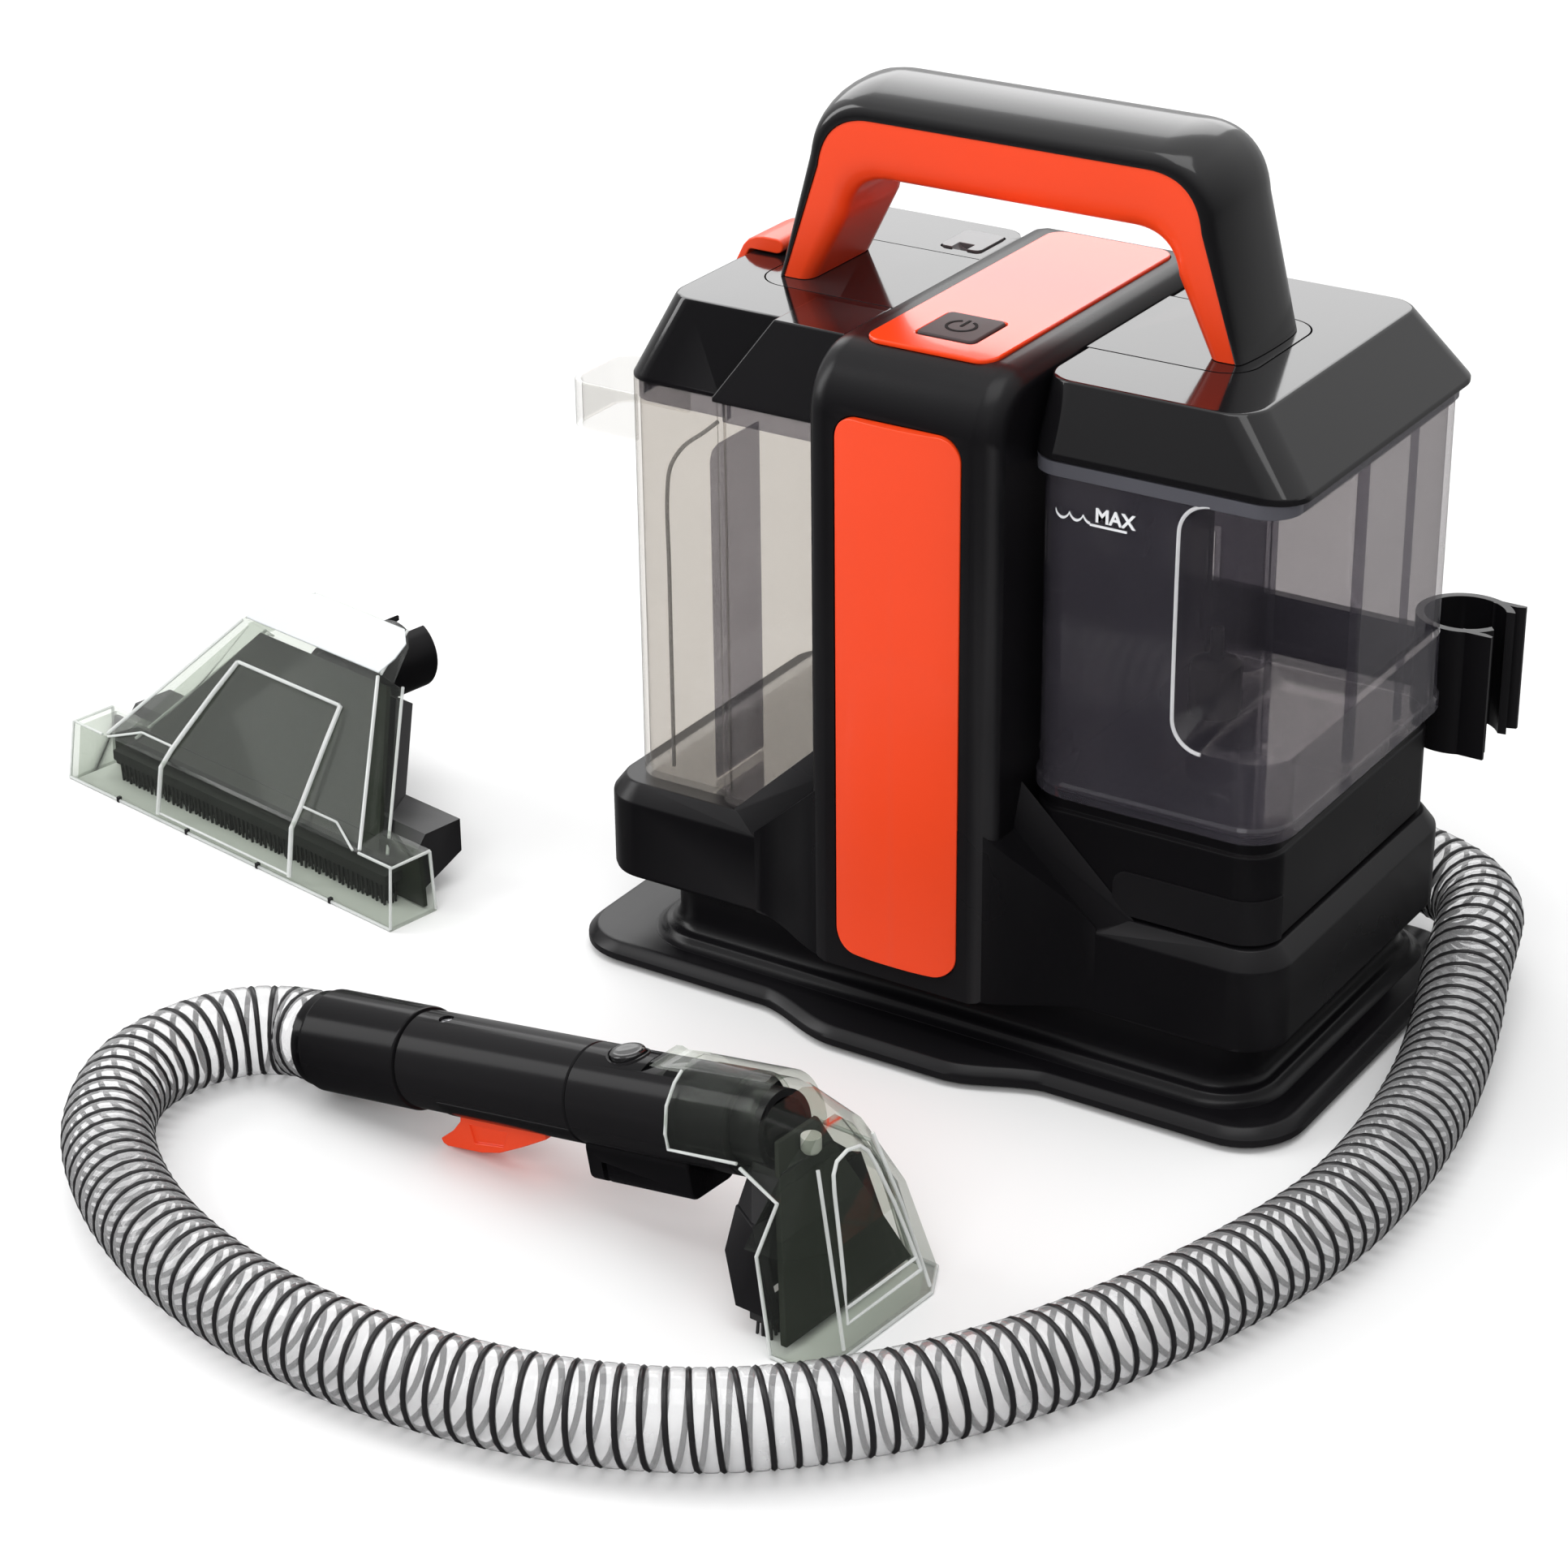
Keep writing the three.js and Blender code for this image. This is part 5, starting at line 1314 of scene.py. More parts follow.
def turned(name, profile, axis="X", centre=(0, 0, 0), sides=48, closed=False):
    """A turned solid. The profile lists how far along the axis, and how far out, each ring is."""
    rings = []
    for along, radius in profile:
        ring = []
        for k in range(sides):
            a, b = radius * math.cos(k / sides * math.tau), radius * math.sin(k / sides * math.tau)
            local = {"X": (along, a, b), "Y": (a, along, b), "Z": (a, b, along)}[axis]
            ring.append(Vector(centre) + Vector(local))
        rings.append(ring)
    return stack(name, rings, closed)


gland = turned(
    "cord_gland_boot",
    [
        (0.0843, 0.0066), (0.0916, 0.0066), (0.0916, 0.0100), (0.0950, 0.0098), (0.0962, 0.0090),
        (0.0973, 0.0062),
        (0.0973, 0.0038), (0.0843, 0.0038),
    ],
    "Y", (0, 0, 0.118), closed=True,
)
mount(soften(gland, 0.0003, 2, 40), foot_rubber, replaced=["cord_gland"])
hook_root = COVER_BACK + 0.0003
for word, z, rise in (("lower", 0.144, -1), ("upper", 0.262, 1)):
    hook_side = [
        (hook_root, z - 0.003), (hook_root + 0.022, z - 0.003), (hook_root + 0.022, z + 0.003),
        (hook_root, z + 0.003),
    ]
    hook = sideways(f"cord_hook_{word}_arm", hook_side, -0.012, 0.012)
    edges = sorted((z - rise * 0.003, z + rise * 0.016))
    fuse(hook, block("lip", -0.012, 0.012, hook_root + 0.018, hook_root + 0.022, *edges))
    mount(soften(hook, 0.0010, 3, 40), satin_black, replaced=[f"cord_hook_{word}"])

# ---------------------------------------------------------------- wand
# Three black tubes end to end: a cuff that clamps the hose, the grip with its screw and its
# lower panel, and the front with the catch housing under it. The trigger is orange.
WAND_PLACE = Matrix.Translation(
    MACHINE + Vector((-0.188, -0.248, 0))
) @ Matrix.Rotation(math.radians(-5.7), 4, "Z")
TUBE_TILT = Matrix.Translation((0, 0, 0.0225)) @ Matrix.Rotation(math.radians(-10.6), 4, "Y")
GRIP_PLACE = WAND_PLACE @ TUBE_TILT
WAND_RADIUS = 0.020
wand_gloss = moulded("wand_gloss", (0.0030, 0.0028, 0.0034), 0.14, patchiness=0.2, grain=0.2, shine=0.09)
wand_cuff = turned(
    "wand_cuff_tube",
    [
        (0.0000, 0.0188), (0.0006, 0.0198), (0.0050, 0.0200), (0.0062, 0.0203), (0.0072, 0.0212),
        (0.0588, 0.0212),
        (0.0597, 0.0208), (0.0600, 0.0200), (0.0600, 0.0150), (0.0000, 0.0150),
    ],
    closed=True,
)
mount(soften(wand_cuff, 0), wand_gloss, "wand", ["wand_cuff"], GRIP_PLACE)
wand_body = turned(
    "wand_body_tube",
    [
        (0.0603, 0.0194), (0.0608, 0.0200), (0.1514, 0.0200), (0.1520, 0.0194), (0.1520, 0.0160),
        (0.0603, 0.0160),
    ],
    closed=True,
)
trigger_slot = block("trigger_slot", 0.063, 0.129, -0.008, 0.008, -0.024, -0.008)
screw_hole = rod("screw_hole", (0.075, 0, 0.0180), (0.075, 0, 0.0230), 0.0031, 24)
grip_panel_arc = []
for radius, sweep in ((0.02035, range(-158, -21, 4)), (0.0185, range(-22, -159, -4))):
    for degree in sweep:
        grip_panel_arc.append(
            (radius * math.cos(math.radians(degree)), radius * math.sin(math.radians(degree)))
        )
grip_panel = sideways("grip_lower_panel", grip_panel_arc, 0.0800, 0.1516)
soften(grip_panel, 0.0004, 2, 50)
carve(grip_panel, block("slot", 0.063, 0.129, -0.008, 0.008, -0.024, -0.008))
mount(soften(grip_panel, 0), wand_gloss, "wand", place=GRIP_PLACE)
carve(wand_body, trigger_slot, screw_hole)
mount(soften(wand_body, 0), wand_gloss, "wand", ["wand_body"], GRIP_PLACE)
grip_screw = rod("grip_screw_head", (0.075, 0, 0.0176), (0.075, 0, 0.0188), 0.0028, 24)
carve(grip_screw, block("slot", 0.0730, 0.0770, -0.0004, 0.0004, 0.0182, 0.02))
mount(soften(grip_screw, 0.0002, 2), screw_steel, "wand", place=GRIP_PLACE)

wand_front = turned(
    "wand_front_tube",
    [
        (0.1523, 0.0194), (0.1529, 0.0200), (0.2314, 0.0200), (0.2320, 0.0194), (0.2320, 0.0160),
        (0.1523, 0.0160),
    ],
    closed=True,
)
catch_housing = sideways(
    "catch_housing", rounded_rectangle(-0.013, -0.032, 0.013, -0.014, 0.004, 6), 0.1523, 0.205,
)
soften(catch_housing, 0.0012, 3, 40)
carve(
    catch_housing,
    block("catch_slot", 0.1600, 0.1625, -0.02, 0.02, -0.040, -0.0225),
    rod("housing_bore", (0.15, 0, 0), (0.21, 0, 0), 0.0180),
)
fuse(wand_front, catch_housing)
carve(
    wand_front,
    rod("button_well", (0.172, 0, 0.010), (0.172, 0, 0.024), 0.0075),
    block("tab_recess", 0.1855, 0.1965, -0.0095, 0.0095, 0.0180, 0.024),
)
mount(soften(wand_front, 0.0002, 2, 50), wand_gloss, "wand", ["wand_front"], GRIP_PLACE)
bezel_points = [
    (0.172 + 0.0086 * math.cos(k / 40 * math.tau), 0.0078 * math.sin(k / 40 * math.tau)) for k in range(40)
]
bezel = stack(
    "button_bezel",
    [
        [
            (x + (x - 0.172) * out * 0.1, y * (1 + out * 0.1), math.sqrt(0.0199**2 - y * y) + up)
            for out, up in ((-0.8, -0.0004), (0.8, -0.0004), (0.5, 0.0006), (-0.5, 0.0006))
        ]
        for x, y in bezel_points
    ],
    closed=True,
)
mount(soften(bezel, 0), wand_gloss, "wand", place=GRIP_PLACE)
release_button = turned(
    "release_button_cap",
    [
        (0.0174, 0.0070), (0.0208, 0.0070), (0.0214, 0.0064), (0.0216, 0.0050), (0.0213, 0.0030),
        (0.0212, 0.0004),
    ],
    "Z", (0.172, 0, 0),
)
mount(soften(release_button, 0), gloss_black, "release_button", ["release_button"], GRIP_PLACE)

trigger_outline = [
    (0.0800, -0.0170), (0.0790, -0.0215), (0.0740, -0.0262), (0.0660, -0.0310), (0.0668, -0.0330),
    (0.0690, -0.0340),
    (0.0880, -0.0338), (0.0980, -0.0322), (0.1120, -0.0272), (0.1260, -0.0215), (0.1260, -0.0150),
    (0.1190, -0.0130),
    (0.0800, -0.0130),
]
trigger = across("trigger_lever", trigger_outline, -0.0074, 0.0074)
carve(
    trigger,
    across(
        "finger_hollow", [(0.0840, -0.0220), (0.1050, -0.0220), (0.1010, -0.0290), (0.0850, -0.0300)],
        -0.009, -0.0063,
    ),
)
mount(soften(trigger, 0.0010, 3, 35), orange_plastic, "trigger", ["trigger"], GRIP_PLACE)

# ---------------------------------------------------------------- small nozzle
# A clear cover like a scoop: a half sleeve that clips on the tube, a bent neck and a flat front
# with a raised window. Behind it a black support carries the brush and the spray tip.
nozzle_clear = clear_plastic(
    "nozzle_clear", (0.84, 0.86, 0.83), (0.30, 0.32, 0.30), 0.02, 0.03, 0.5, 40, 0.008,
)
# An opaque dark grey-green lining for the clear covers' insides: painted shade.
nozzle_shade_lining = moulded("nozzle_shade_lining", (0.030, 0.034, 0.027), 0.6, patchiness=0.3, grain=0.3, shine=0.1)


def hull(name, points):
    """The closed convex solid round the points."""
    mesh = bpy.data.meshes.new(name)
    shape = bmesh.new()
    for point in points:
        shape.verts.new(point)
    found = bmesh.ops.convex_hull(shape, input=shape.verts)
    spare = [v for v in found["geom_interior"] if isinstance(v, bmesh.types.BMVert)]
    bmesh.ops.delete(shape, geom=spare, context="VERTS")
    bmesh.ops.dissolve_limit(
        shape, angle_limit=math.radians(0.5), verts=shape.verts, edges=shape.edges
    )
    bmesh.ops.recalc_face_normals(shape, faces=shape.faces)
    shape.to_mesh(mesh)
    shape.free()
    piece = bpy.data.objects.new(name, mesh)
    bpy.context.scene.collection.objects.link(piece)
    return piece


def both_sides(points, axis):
    """The points and their mirror images across the plane through zero on that axis."""
    flipped = [tuple(-v if k == axis else v for k, v in enumerate(point)) for point in points]
    return list(points) + flipped


def scoop(inset):
    """The clear head's three solids, from the tube round the bend to the mouth."""
    i = inset
    wide_open = 0.007 if inset else 0
    neck = [
        (0.238 - wide_open, 0.022 - i, 0.060), (0.238 - wide_open, 0.022 - i, 0.072),
        (0.238 - wide_open, 0.0175 - i, 0.0795 - i), (0.238 - wide_open, 0.009 - i, 0.083 - i),
    ]
    bend = [
        (0.261 - wide_open, 0.028 - i, 0.056), (0.2685 - i, 0.0165 - i, 0.070 - i),
        (0.2665 - i, 0.0140 - i, 0.0755 - i), (0.262 - i, 0.009 - i, 0.0803 - i),
    ]
    shoulder = [
        (0.258 - wide_open, 0.039 - i, 0.038), (0.270 - i, 0.037 - i, 0.038), (0.280 - i, 0.022 - i, 0.038),
    ]
    lip = [
        (0.268 - wide_open, 0.043 - i, -wide_open), (0.2810 - i, 0.043 - i, -wide_open),
        (0.290 - i, 0.027 - i, -wide_open),
    ]
    return [
        hull("scoop", both_sides(near + far, 1))
        for near, far in ((neck, bend), (bend, shoulder), (shoulder, lip))
    ]


def tilted(piece):
    """Carries a piece drawn in the tube's axes into the wand's level ones."""
    piece.data.transform(TUBE_TILT)
    return piece


sleeve = turned("sleeve", [(0.206, 0.0230), (0.246, 0.0230)])
carve(sleeve, block("sleeve_foot", 0.200, 0.250, -0.03, 0.03, -0.03, -0.005))
sleeve_tab = across(
    "sleeve_tab",
    [
        (0.1900, 0.0210), (0.1905, 0.0226), (0.1935, 0.0228), (0.1965, 0.0216), (0.2080, 0.0222),
        (0.2080, 0.0206), (0.1945, 0.0206),
    ],
    -0.008, 0.008,
)
nozzle_cover = fuse(*scoop(0))
nozzle_cover.name = "nozzle_cover_shell"
fuse(nozzle_cover, tilted(sleeve), tilted(sleeve_tab))
soften(nozzle_cover, 0.0012, 2, 25)
carve(
    nozzle_cover, *scoop(0.0022),
    tilted(rod("tube_space", (0.180, 0, 0), (0.234, 0, 0), WAND_RADIUS + 0.0004)),
    tilted(rod("throat", (0.230, 0, 0), (0.250, 0, 0), WAND_RADIUS - 0.0002)),
)
mount(soften(nozzle_cover, 0), nozzle_clear, "nozzle", ["nozzle_cover"], WAND_PLACE)

# Milky beads along the clear cover's edges, round its window, across the window's bar and along the sleeve:
# painted highlights where these edges catch the light.
edge_highlight_paint = clear_plastic("edge_highlight_paint", (0.95, 0.96, 0.95), (0.86, 0.88, 0.87), 0.6, 0.05)
edge_lines = [
    [(0.2380, 0.0222, 0.0605), (0.2600, 0.0280, 0.0565), (0.2584, 0.0385, 0.0385), (0.2680, 0.0428, 0.0008)],
    [(0.2680, 0.0428, 0.0010), (0.2808, 0.0428, 0.0010), (0.2898, 0.0270, 0.0010), (0.2898, 0.0, 0.0010)],
    [(0.2700, 0.0165, 0.0690), (0.2796, 0.0218, 0.0390), (0.2893, 0.0266, 0.0040)],
]
window = [(
    0.2881, 0.0225, 0.0130,
), (0.2842, 0.0195, 0.0280), (0.2800, 0.0165, 0.0425), (0.2745, 0.0125, 0.0590),
          (0.2725, 0.0105, 0.0650), (0.2713, 0.0070, 0.0685), (0.2708, 0.0, 0.0698)]


def straight_bead(name, points, radius, sides=8):
    """A round bead through points joined by straight runs, with its corners kept."""
    line = [Vector(p) for p in points]
    rings = []
    for k, here in enumerate(line):
        before = (here - line[k - 1]).normalized() if k else (line[1] - here).normalized()
        after = (line[k + 1] - here).normalized() if k + 1 < len(line) else before
        ahead = (before + after).normalized()
        turn = ahead.to_track_quat("Z", "Y")
        rings.append(
            [
                here + turn @ Vector(
                    (radius * math.cos(s / sides * math.tau), radius * math.sin(s / sides * math.tau), 0)
                )
                for s in range(sides)
            ]
        )
    return stack(name, rings)


for number, points in enumerate(edge_lines):
    for side in (-1, 1):
        bead_line = straight_bead(
            f"nozzle_edge_{number + 1}_{side}", [(x, side * y, z) for x, y, z in points], 0.0008,
        )
        mount(bead_line, edge_highlight_paint, "nozzle", place=WAND_PLACE)
window_line = window + [(x, -y, z) for x, y, z in reversed(window[:-1])]
mount(
    straight_bead("nozzle_window_edge", window_line + [window_line[0]], 0.0008),
    edge_highlight_paint, "nozzle", place=WAND_PLACE,
)
window_bar = straight_bead("nozzle_window_bar", [(0.2868, -0.0215, 0.0185), (0.2868, 0.0215, 0.0185)], 0.0007)
mount(window_bar, edge_highlight_paint, "nozzle", place=WAND_PLACE)
sleeve_edge = straight_bead(
    "nozzle_sleeve_edge",
    [(
        0.2400, -0.0226, -0.0045,
    ), (0.2065, -0.0226, -0.0045), (0.2065, -0.0228, 0.0020), (0.2065, -0.0195, 0.0120),
     (0.2065, -0.0130, 0.0188), (0.2065, -0.0080, 0.0216)],
    0.0007,
)
mount(sleeve_edge, edge_highlight_paint, "nozzle", place=GRIP_PLACE)
# A dark sheet inside the small cover, behind its front: painted shade for the cover's dark inside.
inner_plate = hull(
    "nozzle_shade_sheet",
    both_sides(
        [
            (0.2460, 0.012, 0.070), (0.2480, 0.012, 0.070), (0.2560, 0.024, 0.040), (0.2590, 0.024, 0.040),
            (0.2690, 0.0385, 0.004), (0.2720, 0.0385, 0.004),
        ],
        1,
    ),
)
mount(soften(inner_plate, 0.0005, 2), nozzle_shade_lining, "nozzle", place=WAND_PLACE)

support_parts = [
    hull(
        "support_top",
        both_sides(
            [(0.238, 0.015, 0.060), (0.238, 0.025, 0.044), (0.252, 0.015, 0.060), (0.252, 0.033, 0.044)], 1,
        ),
    ),
    hull("support_low", both_sides([
        (0.238, 0.025, 0.046), (0.238, 0.032, 0.030), (0.246, 0.036, 0.011), (0.252, 0.033, 0.046),
        (0.256, 0.035, 0.030), (0.264, 0.036, 0.011)], 1)),
    tilted(turned("spigot", [(0.216, 0.0156), (0.246, 0.0156)])),
]
support_channel = hull("support_channel", both_sides([
    (0.244, 0.012, 0.056), (0.244, 0.028, 0.032), (0.250, 0.032, 0.009), (0.262, 0.012, 0.056),
    (0.262, 0.030, 0.032), (0.268, 0.032, 0.009)], 1))
nozzle_support = fuse(*support_parts)
nozzle_support.name = "nozzle_support_moulding"
carve(nozzle_support, support_channel, tilted(turned("spigot_bore", [(0.215, 0.0125), (0.252, 0.0125)])))
mount(
    soften(nozzle_support, 0.0007, 2, 30), satin_black, "nozzle", ["nozzle_support"],
    WAND_PLACE,
)


def brush_strip(name, x0, x1, y0, y1, low, back_height, high, across_count, along_count, seed):
    """A black back with rows of short stiff bristles under it, each leaning a little."""
    chance = np.random.default_rng(seed)
    vertices, faces = [], []

    def box_between(centre_low, centre_high, half_x, half_y):
        start = len(vertices)
        for cx, cy, cz in (centre_low, centre_high):
            vertices.extend([(cx - half_x, cy - half_y, cz), (cx + half_x, cy - half_y, cz),
                             (cx + half_x, cy + half_y, cz), (cx - half_x, cy + half_y, cz)])
        faces.extend(tuple(start + k for k in face) for face in (
            (3, 2, 1, 0), (4, 5, 6, 7), (0, 1, 5, 4), (1, 2, 6, 5), (2, 3, 7, 6), (3, 0, 4, 7)))

    middle_x, middle_y = (x0 + x1) / 2, (y0 + y1) / 2
    box_between((middle_x, middle_y, back_height), (middle_x, middle_y, high), (x1 - x0) / 2, (y1 - y0) / 2)
    inset = 0.0012
    for row in range(across_count):
        for column in range(along_count):
            cx = x0 + inset + (x1 - x0 - 2 * inset) * (row + 0.5) / across_count
            cy = y0 + inset + (y1 - y0 - 2 * inset) * (column + 0.5) / along_count
            lean_x, lean_y = chance.uniform(-0.0006, 0.0006, 2)
            box_between((cx + lean_x, cy + lean_y, low), (cx, cy, back_height + 0.0002), 0.00045, 0.00045)
    return add_piece(name, vertices, faces, smooth=False)


bristle_nylon = moulded("bristle_nylon", (0.010, 0.010, 0.010), 0.6, grain=0.3)
small_brush = brush_strip("nozzle_brush_strip", 0.252, 0.262, -0.035, 0.035, 0.0, 0.0072, 0.0106, 4, 26, 3)
mount(small_brush, bristle_nylon, "nozzle", ["nozzle_brush"], WAND_PLACE)
spray_tip = turned(
    "spray_tip_jet", [(0.062, 0.0012), (0.063, 0.0030), (0.0645, 0.0040), (0.070, 0.0040)], "Z",
    (0.254, 0, 0), 32,
)
mount(soften(spray_tip, 0.0003, 2, 40), white_acetal, "nozzle", ["spray_tip"], WAND_PLACE)

# ---------------------------------------------------------------- wide nozzle
# The loose tool for carpets: a clear cover with a frosted deck, two raised ribs and two end
# boxes, snapped on a black body that has a socket for the wand and a brush strip.
WIDE_PLACE = Matrix.Translation(
    MACHINE + Vector((-0.362, -0.108, 0))
) @ Matrix.Rotation(math.radians(-10.6), 4, "Z")


def wide_solids(inset):
    i = inset
    wide_open = 0.006 if inset else 0
    mouth = hull("mouth", both_sides([
        (0.116 - i, i, -wide_open), (0.116 - i, 0.028 + wide_open, -wide_open),
        (0.114 - i, 0.004 + i, 0.030 - i), (0.114 - i, 0.028 + wide_open, 0.030 - i)], 0))
    slope = hull("slope", both_sides([
        (0.090 - i, 0.005 + i * 1.4, 0.028 - i), (0.090 - i, 0.022 + wide_open, 0.020 - wide_open),
        (0.048 - i, 0.060, 0.085 - i * 1.4), (0.048 - i, 0.073 + wide_open, 0.073 - wide_open)], 0))
    deck = hull("deck", both_sides([
        (0.048 - i, 0.060, 0.085 - i), (0.032 - i, 0.092 - i, 0.092 - i),
        (0.048 - i, 0.066 + wide_open / 2, 0.074 - wide_open),
        (0.032 - i, 0.092 - i, 0.0825 - wide_open)], 0))
    return [mouth, slope, deck]


wide_cover = fuse(*wide_solids(0))
wide_cover.name = "wide_cover_shell"
soften(wide_cover, 0.0016, 2, 25)
carve(wide_cover, *wide_solids(0.0024))
mount(soften(wide_cover, 0), nozzle_clear, "wide_nozzle", ["wide_cover"], WIDE_PLACE)

frosted = moulded("frosted_deck", (0.60, 0.625, 0.64), 0.3, coat=0.3, patchiness=0.15, grain=0.5)
deck_corners = [
    (0.0470, 0.0606, 0.0850), (0.0455, 0.0720, 0.0877), (0.0410, 0.0830, 0.0900), (0.0310, 0.0912, 0.0917),
]
deck_ring = [(-x, y, z) for x, y, z in deck_corners] + list(reversed(deck_corners))
deck_plate = stack(
    "wide_deck_plate",
    [[(x, y, z - 0.0004) for x, y, z in deck_ring], [(x, y, z + 0.0005) for x, y, z in deck_ring]],
)
mount(soften(deck_plate, 0.0004, 2), frosted, "wide_nozzle", place=WIDE_PLACE)


def slope_point(x, share, lift=0.0):
    """A point on the sloping face: its share of the way from the mouth box up to the deck."""
    return x, 0.005 + 0.055 * share - lift * 0.72, 0.028 + 0.057 * share + lift * 0.69


# The wide cover's two ribs and its edges are beads in the same milky paint: real ribs and edges, painted with
# the highlights they catch.
rib_line = [(
    0.0475, -0.0002, 0.004,
), (0.0470, 0.0036, 0.027), slope_point(0.0462, 0.10, 0.0008), slope_point(0.0440, 0.25, 0.0010),
            slope_point(0.0400, 0.52, 0.0010), slope_point(0.0365, 0.74, 0.0004)]
for side in (-1, 1):
    rib = straight_bead(f"wide_rib_{side}", [(side * x, y, z) for x, y, z in rib_line], 0.0012)
    mount(rib, edge_highlight_paint, "wide_nozzle", place=WIDE_PLACE)
wide_lines = [
    ([slope_point(-0.036, 0.74, 0.0006), slope_point(0.036, 0.74, 0.0006)], 0.0009),
    ([(-0.1158, 0.0006, 0.0008), (0.1158, 0.0006, 0.0008)], 0.0009),
    ([(-0.0470, 0.0002, 0.0046), (0.0470, 0.0002, 0.0046)], 0.0006),
]
for side in (-1, 1):
    wide_lines += [
        (
            [
                (side * 0.1156, 0.0006, 0.0010), (side * 0.1138, 0.0042, 0.0294),
                (side * 0.1138, 0.0275, 0.0294),
            ],
            0.0008,
        ),
        ([(side * 0.1157, 0.0275, 0.0010), (side * 0.1138, 0.0275, 0.0292)], 0.0008),
        ([(side * 0.1138, 0.0046, 0.0296), (side * 0.0920, 0.0046, 0.0296)], 0.0007),
        ([slope_point(side * 0.0905, 0.03, 0.0002), slope_point(side * 0.0480, 0.985, 0.0002)], 0.0009),
        ([(side * 0.0905, 0.0225, 0.0215), (side * 0.0485, 0.0730, 0.0740)], 0.0008),
        ([(side * 0.0480, 0.0610, 0.0846), (side * 0.0325, 0.0915, 0.0916)], 0.0007),
        (
            [
                (side * 0.0880, 0.0046, 0.0296), slope_point(side * 0.0700, 0.12, 0.0004),
                slope_point(side * 0.0462, 0.12, 0.0004),
            ],
            0.0006,
        ),
    ]
for number, (points, radius) in enumerate(wide_lines):
    mount(
        straight_bead(f"wide_edge_{number + 1}", points, radius), edge_highlight_paint, "wide_nozzle",
        place=WIDE_PLACE,
    )
for number, x in enumerate((-0.0780, -0.0270, 0.0240, 0.0750)):
    tick = block(f"wide_mouth_tick_{number + 1}", x - 0.0008, x + 0.0008, -0.0004, 0.0016, 0.0, 0.0026)
    mount(tick, satin_black, "wide_nozzle", place=WIDE_PLACE)

# A dark sheet lining the wide cover's back inside: painted shade for its dark inside.
inner_back = fuse(
    hull("back_low", both_sides([
        (0.111, 0.0246, 0.001), (0.111, 0.0270, 0.001), (0.1095, 0.0246, 0.0268),
        (0.1095, 0.0270, 0.0268)], 0)),
    hull("back_slope", both_sides([
        (0.0868, 0.0205, 0.0215), (0.0868, 0.0225, 0.0200), (0.0450, 0.0665, 0.0760),
        (0.0450, 0.0690, 0.0740)], 0)),
)
inner_back.name = "wide_shade_sheet"
mount(soften(inner_back, 0.0005, 2), nozzle_shade_lining, "wide_nozzle", place=WIDE_PLACE)

wide_back = hull(
    "wide_back",
    both_sides(
        [(0.084, 0.030, 0.026), (0.084, 0.036, 0.014), (0.042, 0.074, 0.066), (0.042, 0.084, 0.060)], 0,
    ),
)
wide_block = hull("wide_block", both_sides([
    (0.104, 0.029, 0.026), (0.104, 0.034, 0.032), (0.104, 0.055, 0.032), (0.104, 0.055, 0.016),
    (0.104, 0.029, 0.004)], 0))
SOCKET_HEIGHT = 0.062
wide_socket = turned(
    "wide_socket", [(0.072, 0.018), (0.1212, 0.018), (0.122, 0.0174)], "Y", (0, 0, SOCKET_HEIGHT),
)
wide_body = fuse(wide_back, wide_block, wide_socket)
wide_body.name = "wide_body_moulding"
carve(
    wide_body,
    turned("wide_bore", [(0.071, 0.0156), (0.123, 0.0156)], "Y", (0, 0, SOCKET_HEIGHT)),
    block("socket_notch", -0.009, 0.009, 0.112, 0.125, 0.070, 0.090),
)
mount(soften(wide_body, 0.0008, 2, 35), satin_black, "wide_nozzle", ["wide_body"], WIDE_PLACE)
wide_brush = brush_strip("wide_brush_strip", -0.098, 0.098, 0.014, 0.024, 0.0, 0.0110, 0.016, 60, 4, 5)
mount(wide_brush, bristle_nylon, "wide_nozzle", ["wide_brush"], WIDE_PLACE)

# ---------------------------------------------------------------- inside the machine
# What the housing hides keeps its plain shape: the motor with its fan, the water pump, the
# ducts with their seals, the power switch, the control board and the trigger's valve.


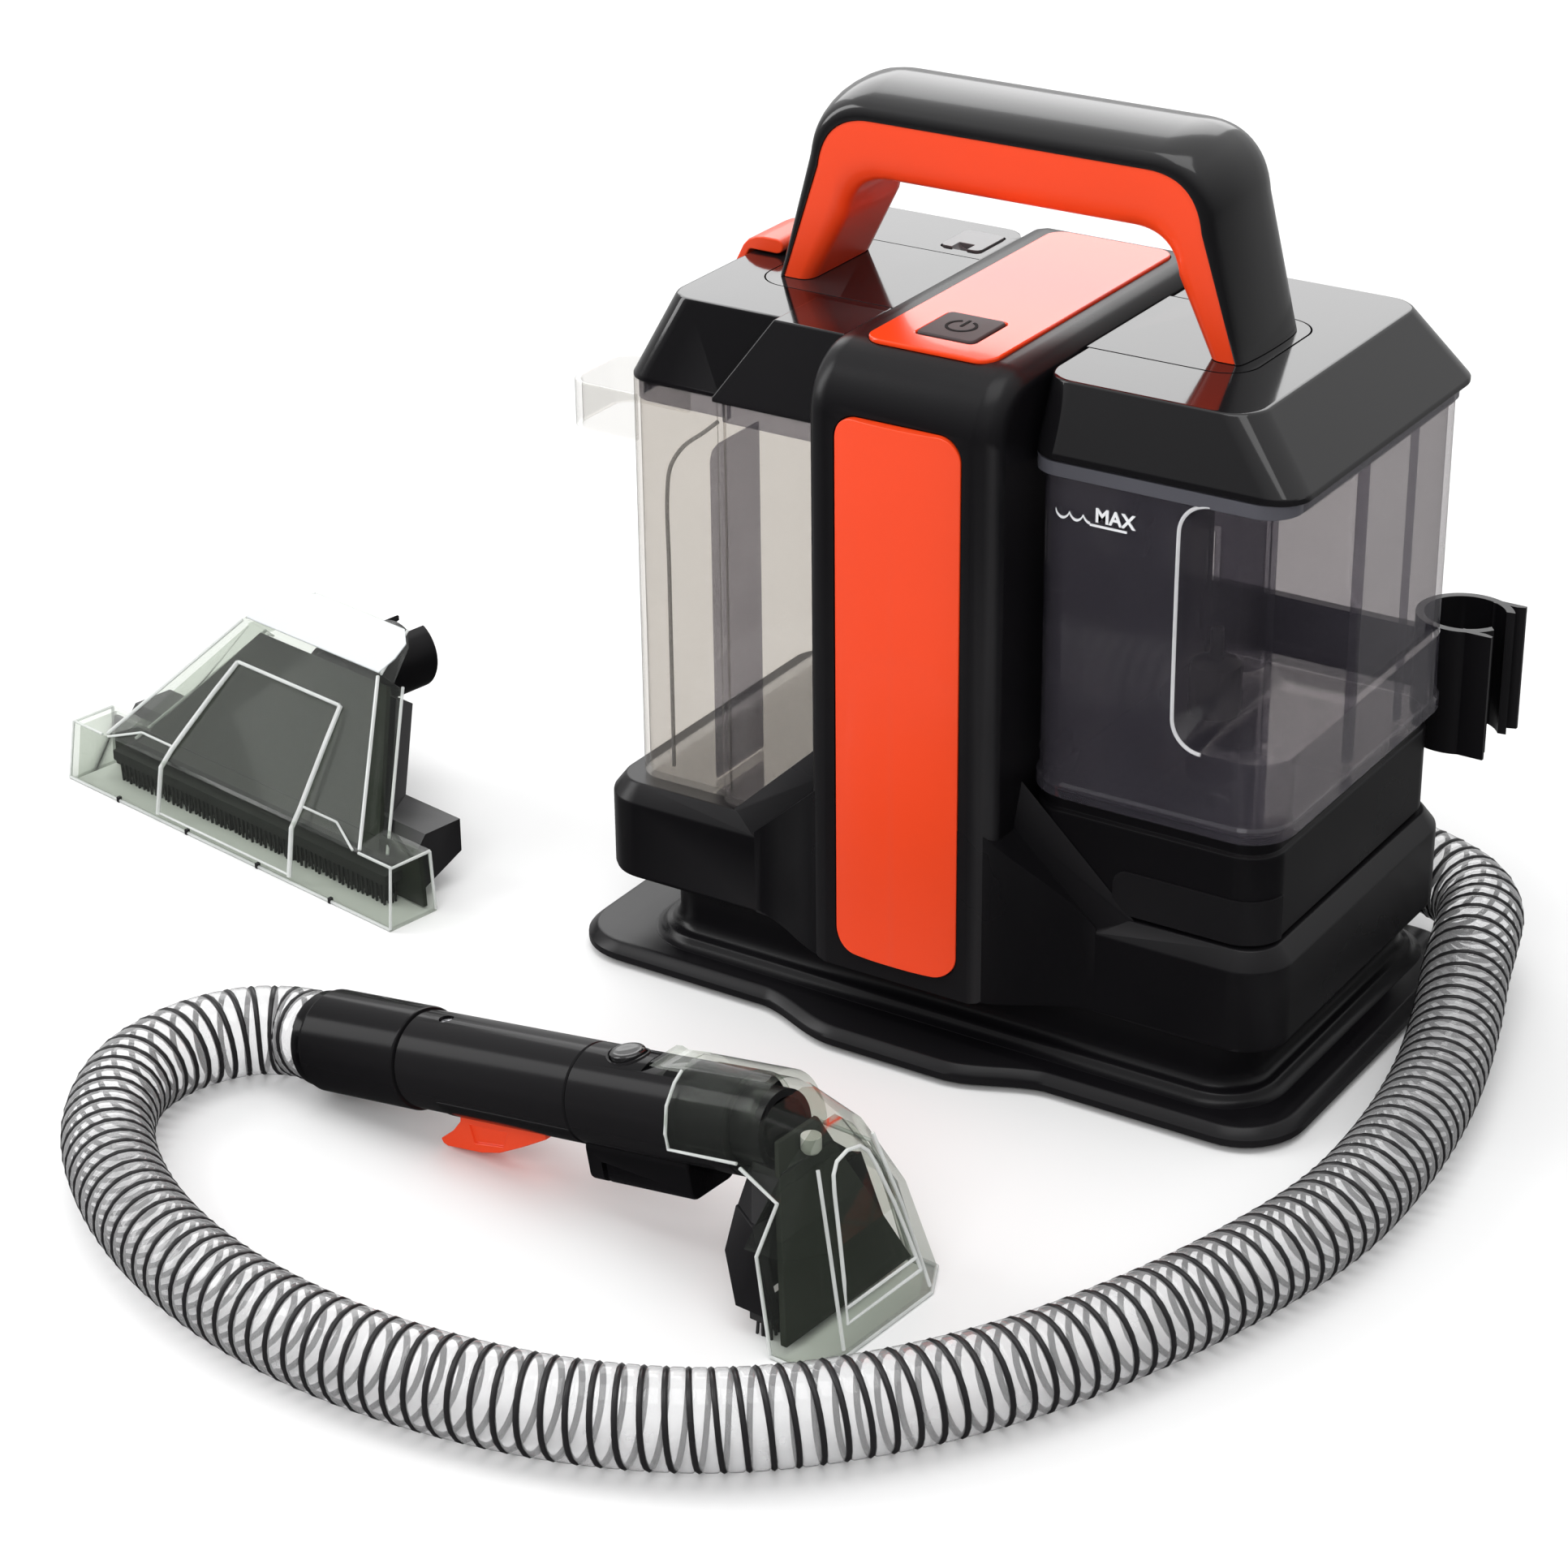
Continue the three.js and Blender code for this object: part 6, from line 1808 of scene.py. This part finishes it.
def plate_metal(name, colour, roughness, brushed):
    """Bare metal with fine lines left by rolling or turning."""
    material, tree, shader = new_material(name)
    place = tree.nodes.new("ShaderNodeTexCoord")
    stretch = tree.nodes.new("ShaderNodeMapping")
    stretch.inputs["Scale"].default_value = (40, 40, 900)
    lines = tree.nodes.new("ShaderNodeTexNoise")
    lines.inputs["Scale"].default_value = 3
    lines.inputs["Detail"].default_value = 5
    tree.links.new(place.outputs["Object"], stretch.inputs["Vector"])
    tree.links.new(stretch.outputs["Vector"], lines.inputs["Vector"])
    spread = tree.nodes.new("ShaderNodeMapRange")
    spread.inputs["To Min"].default_value = roughness * (1 - brushed)
    spread.inputs["To Max"].default_value = roughness * (1 + brushed)
    tree.links.new(lines.outputs["Fac"], spread.inputs["Value"])
    tree.links.new(spread.outputs["Result"], shader.inputs["Roughness"])
    tint = tree.nodes.new("ShaderNodeMix")
    tint.data_type = "RGBA"
    tint.inputs["A"].default_value = (*(v * 0.8 for v in colour), 1)
    tint.inputs["B"].default_value = (*colour, 1)
    tree.links.new(lines.outputs["Fac"], tint.inputs["Factor"])
    tree.links.new(tint.outputs["Result"], shader.inputs["Base Color"])
    shader.inputs["Metallic"].default_value = 1
    return material


turned_steel = plate_metal("turned_steel", (0.52, 0.52, 0.53), 0.3, 0.4)
board_green = moulded("board_green", (0.012, 0.075, 0.03), 0.35, patchiness=0.4, grain=0.5, grain_size=0.002)
grey_nylon = moulded("grey_nylon", (0.09, 0.09, 0.095), 0.5, grain=0.4)
inside_finishes = {
    "suction_motor": (turned_steel, "steel"), "impeller": (grey_nylon, "grey_plastic"),
    "fan_housing": (satin_black, "satin_black"), "water_pump": (grey_nylon, "grey_plastic"),
    "suction_duct": (grey_nylon, "grey_plastic"), "clean_port_seal": (foot_rubber, "rubber"),
    "dirty_port_seal": (foot_rubber, "rubber"), "control_board": (board_green, "board"),
    "power_switch": (satin_black, "satin_black"), "trigger_valve": (white_acetal, "white_plastic"),
}
for node_name, (finish, slot_name) in inside_finishes.items():
    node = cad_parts[node_name]
    node.data.materials.clear()
    node.data.materials.append(finish)
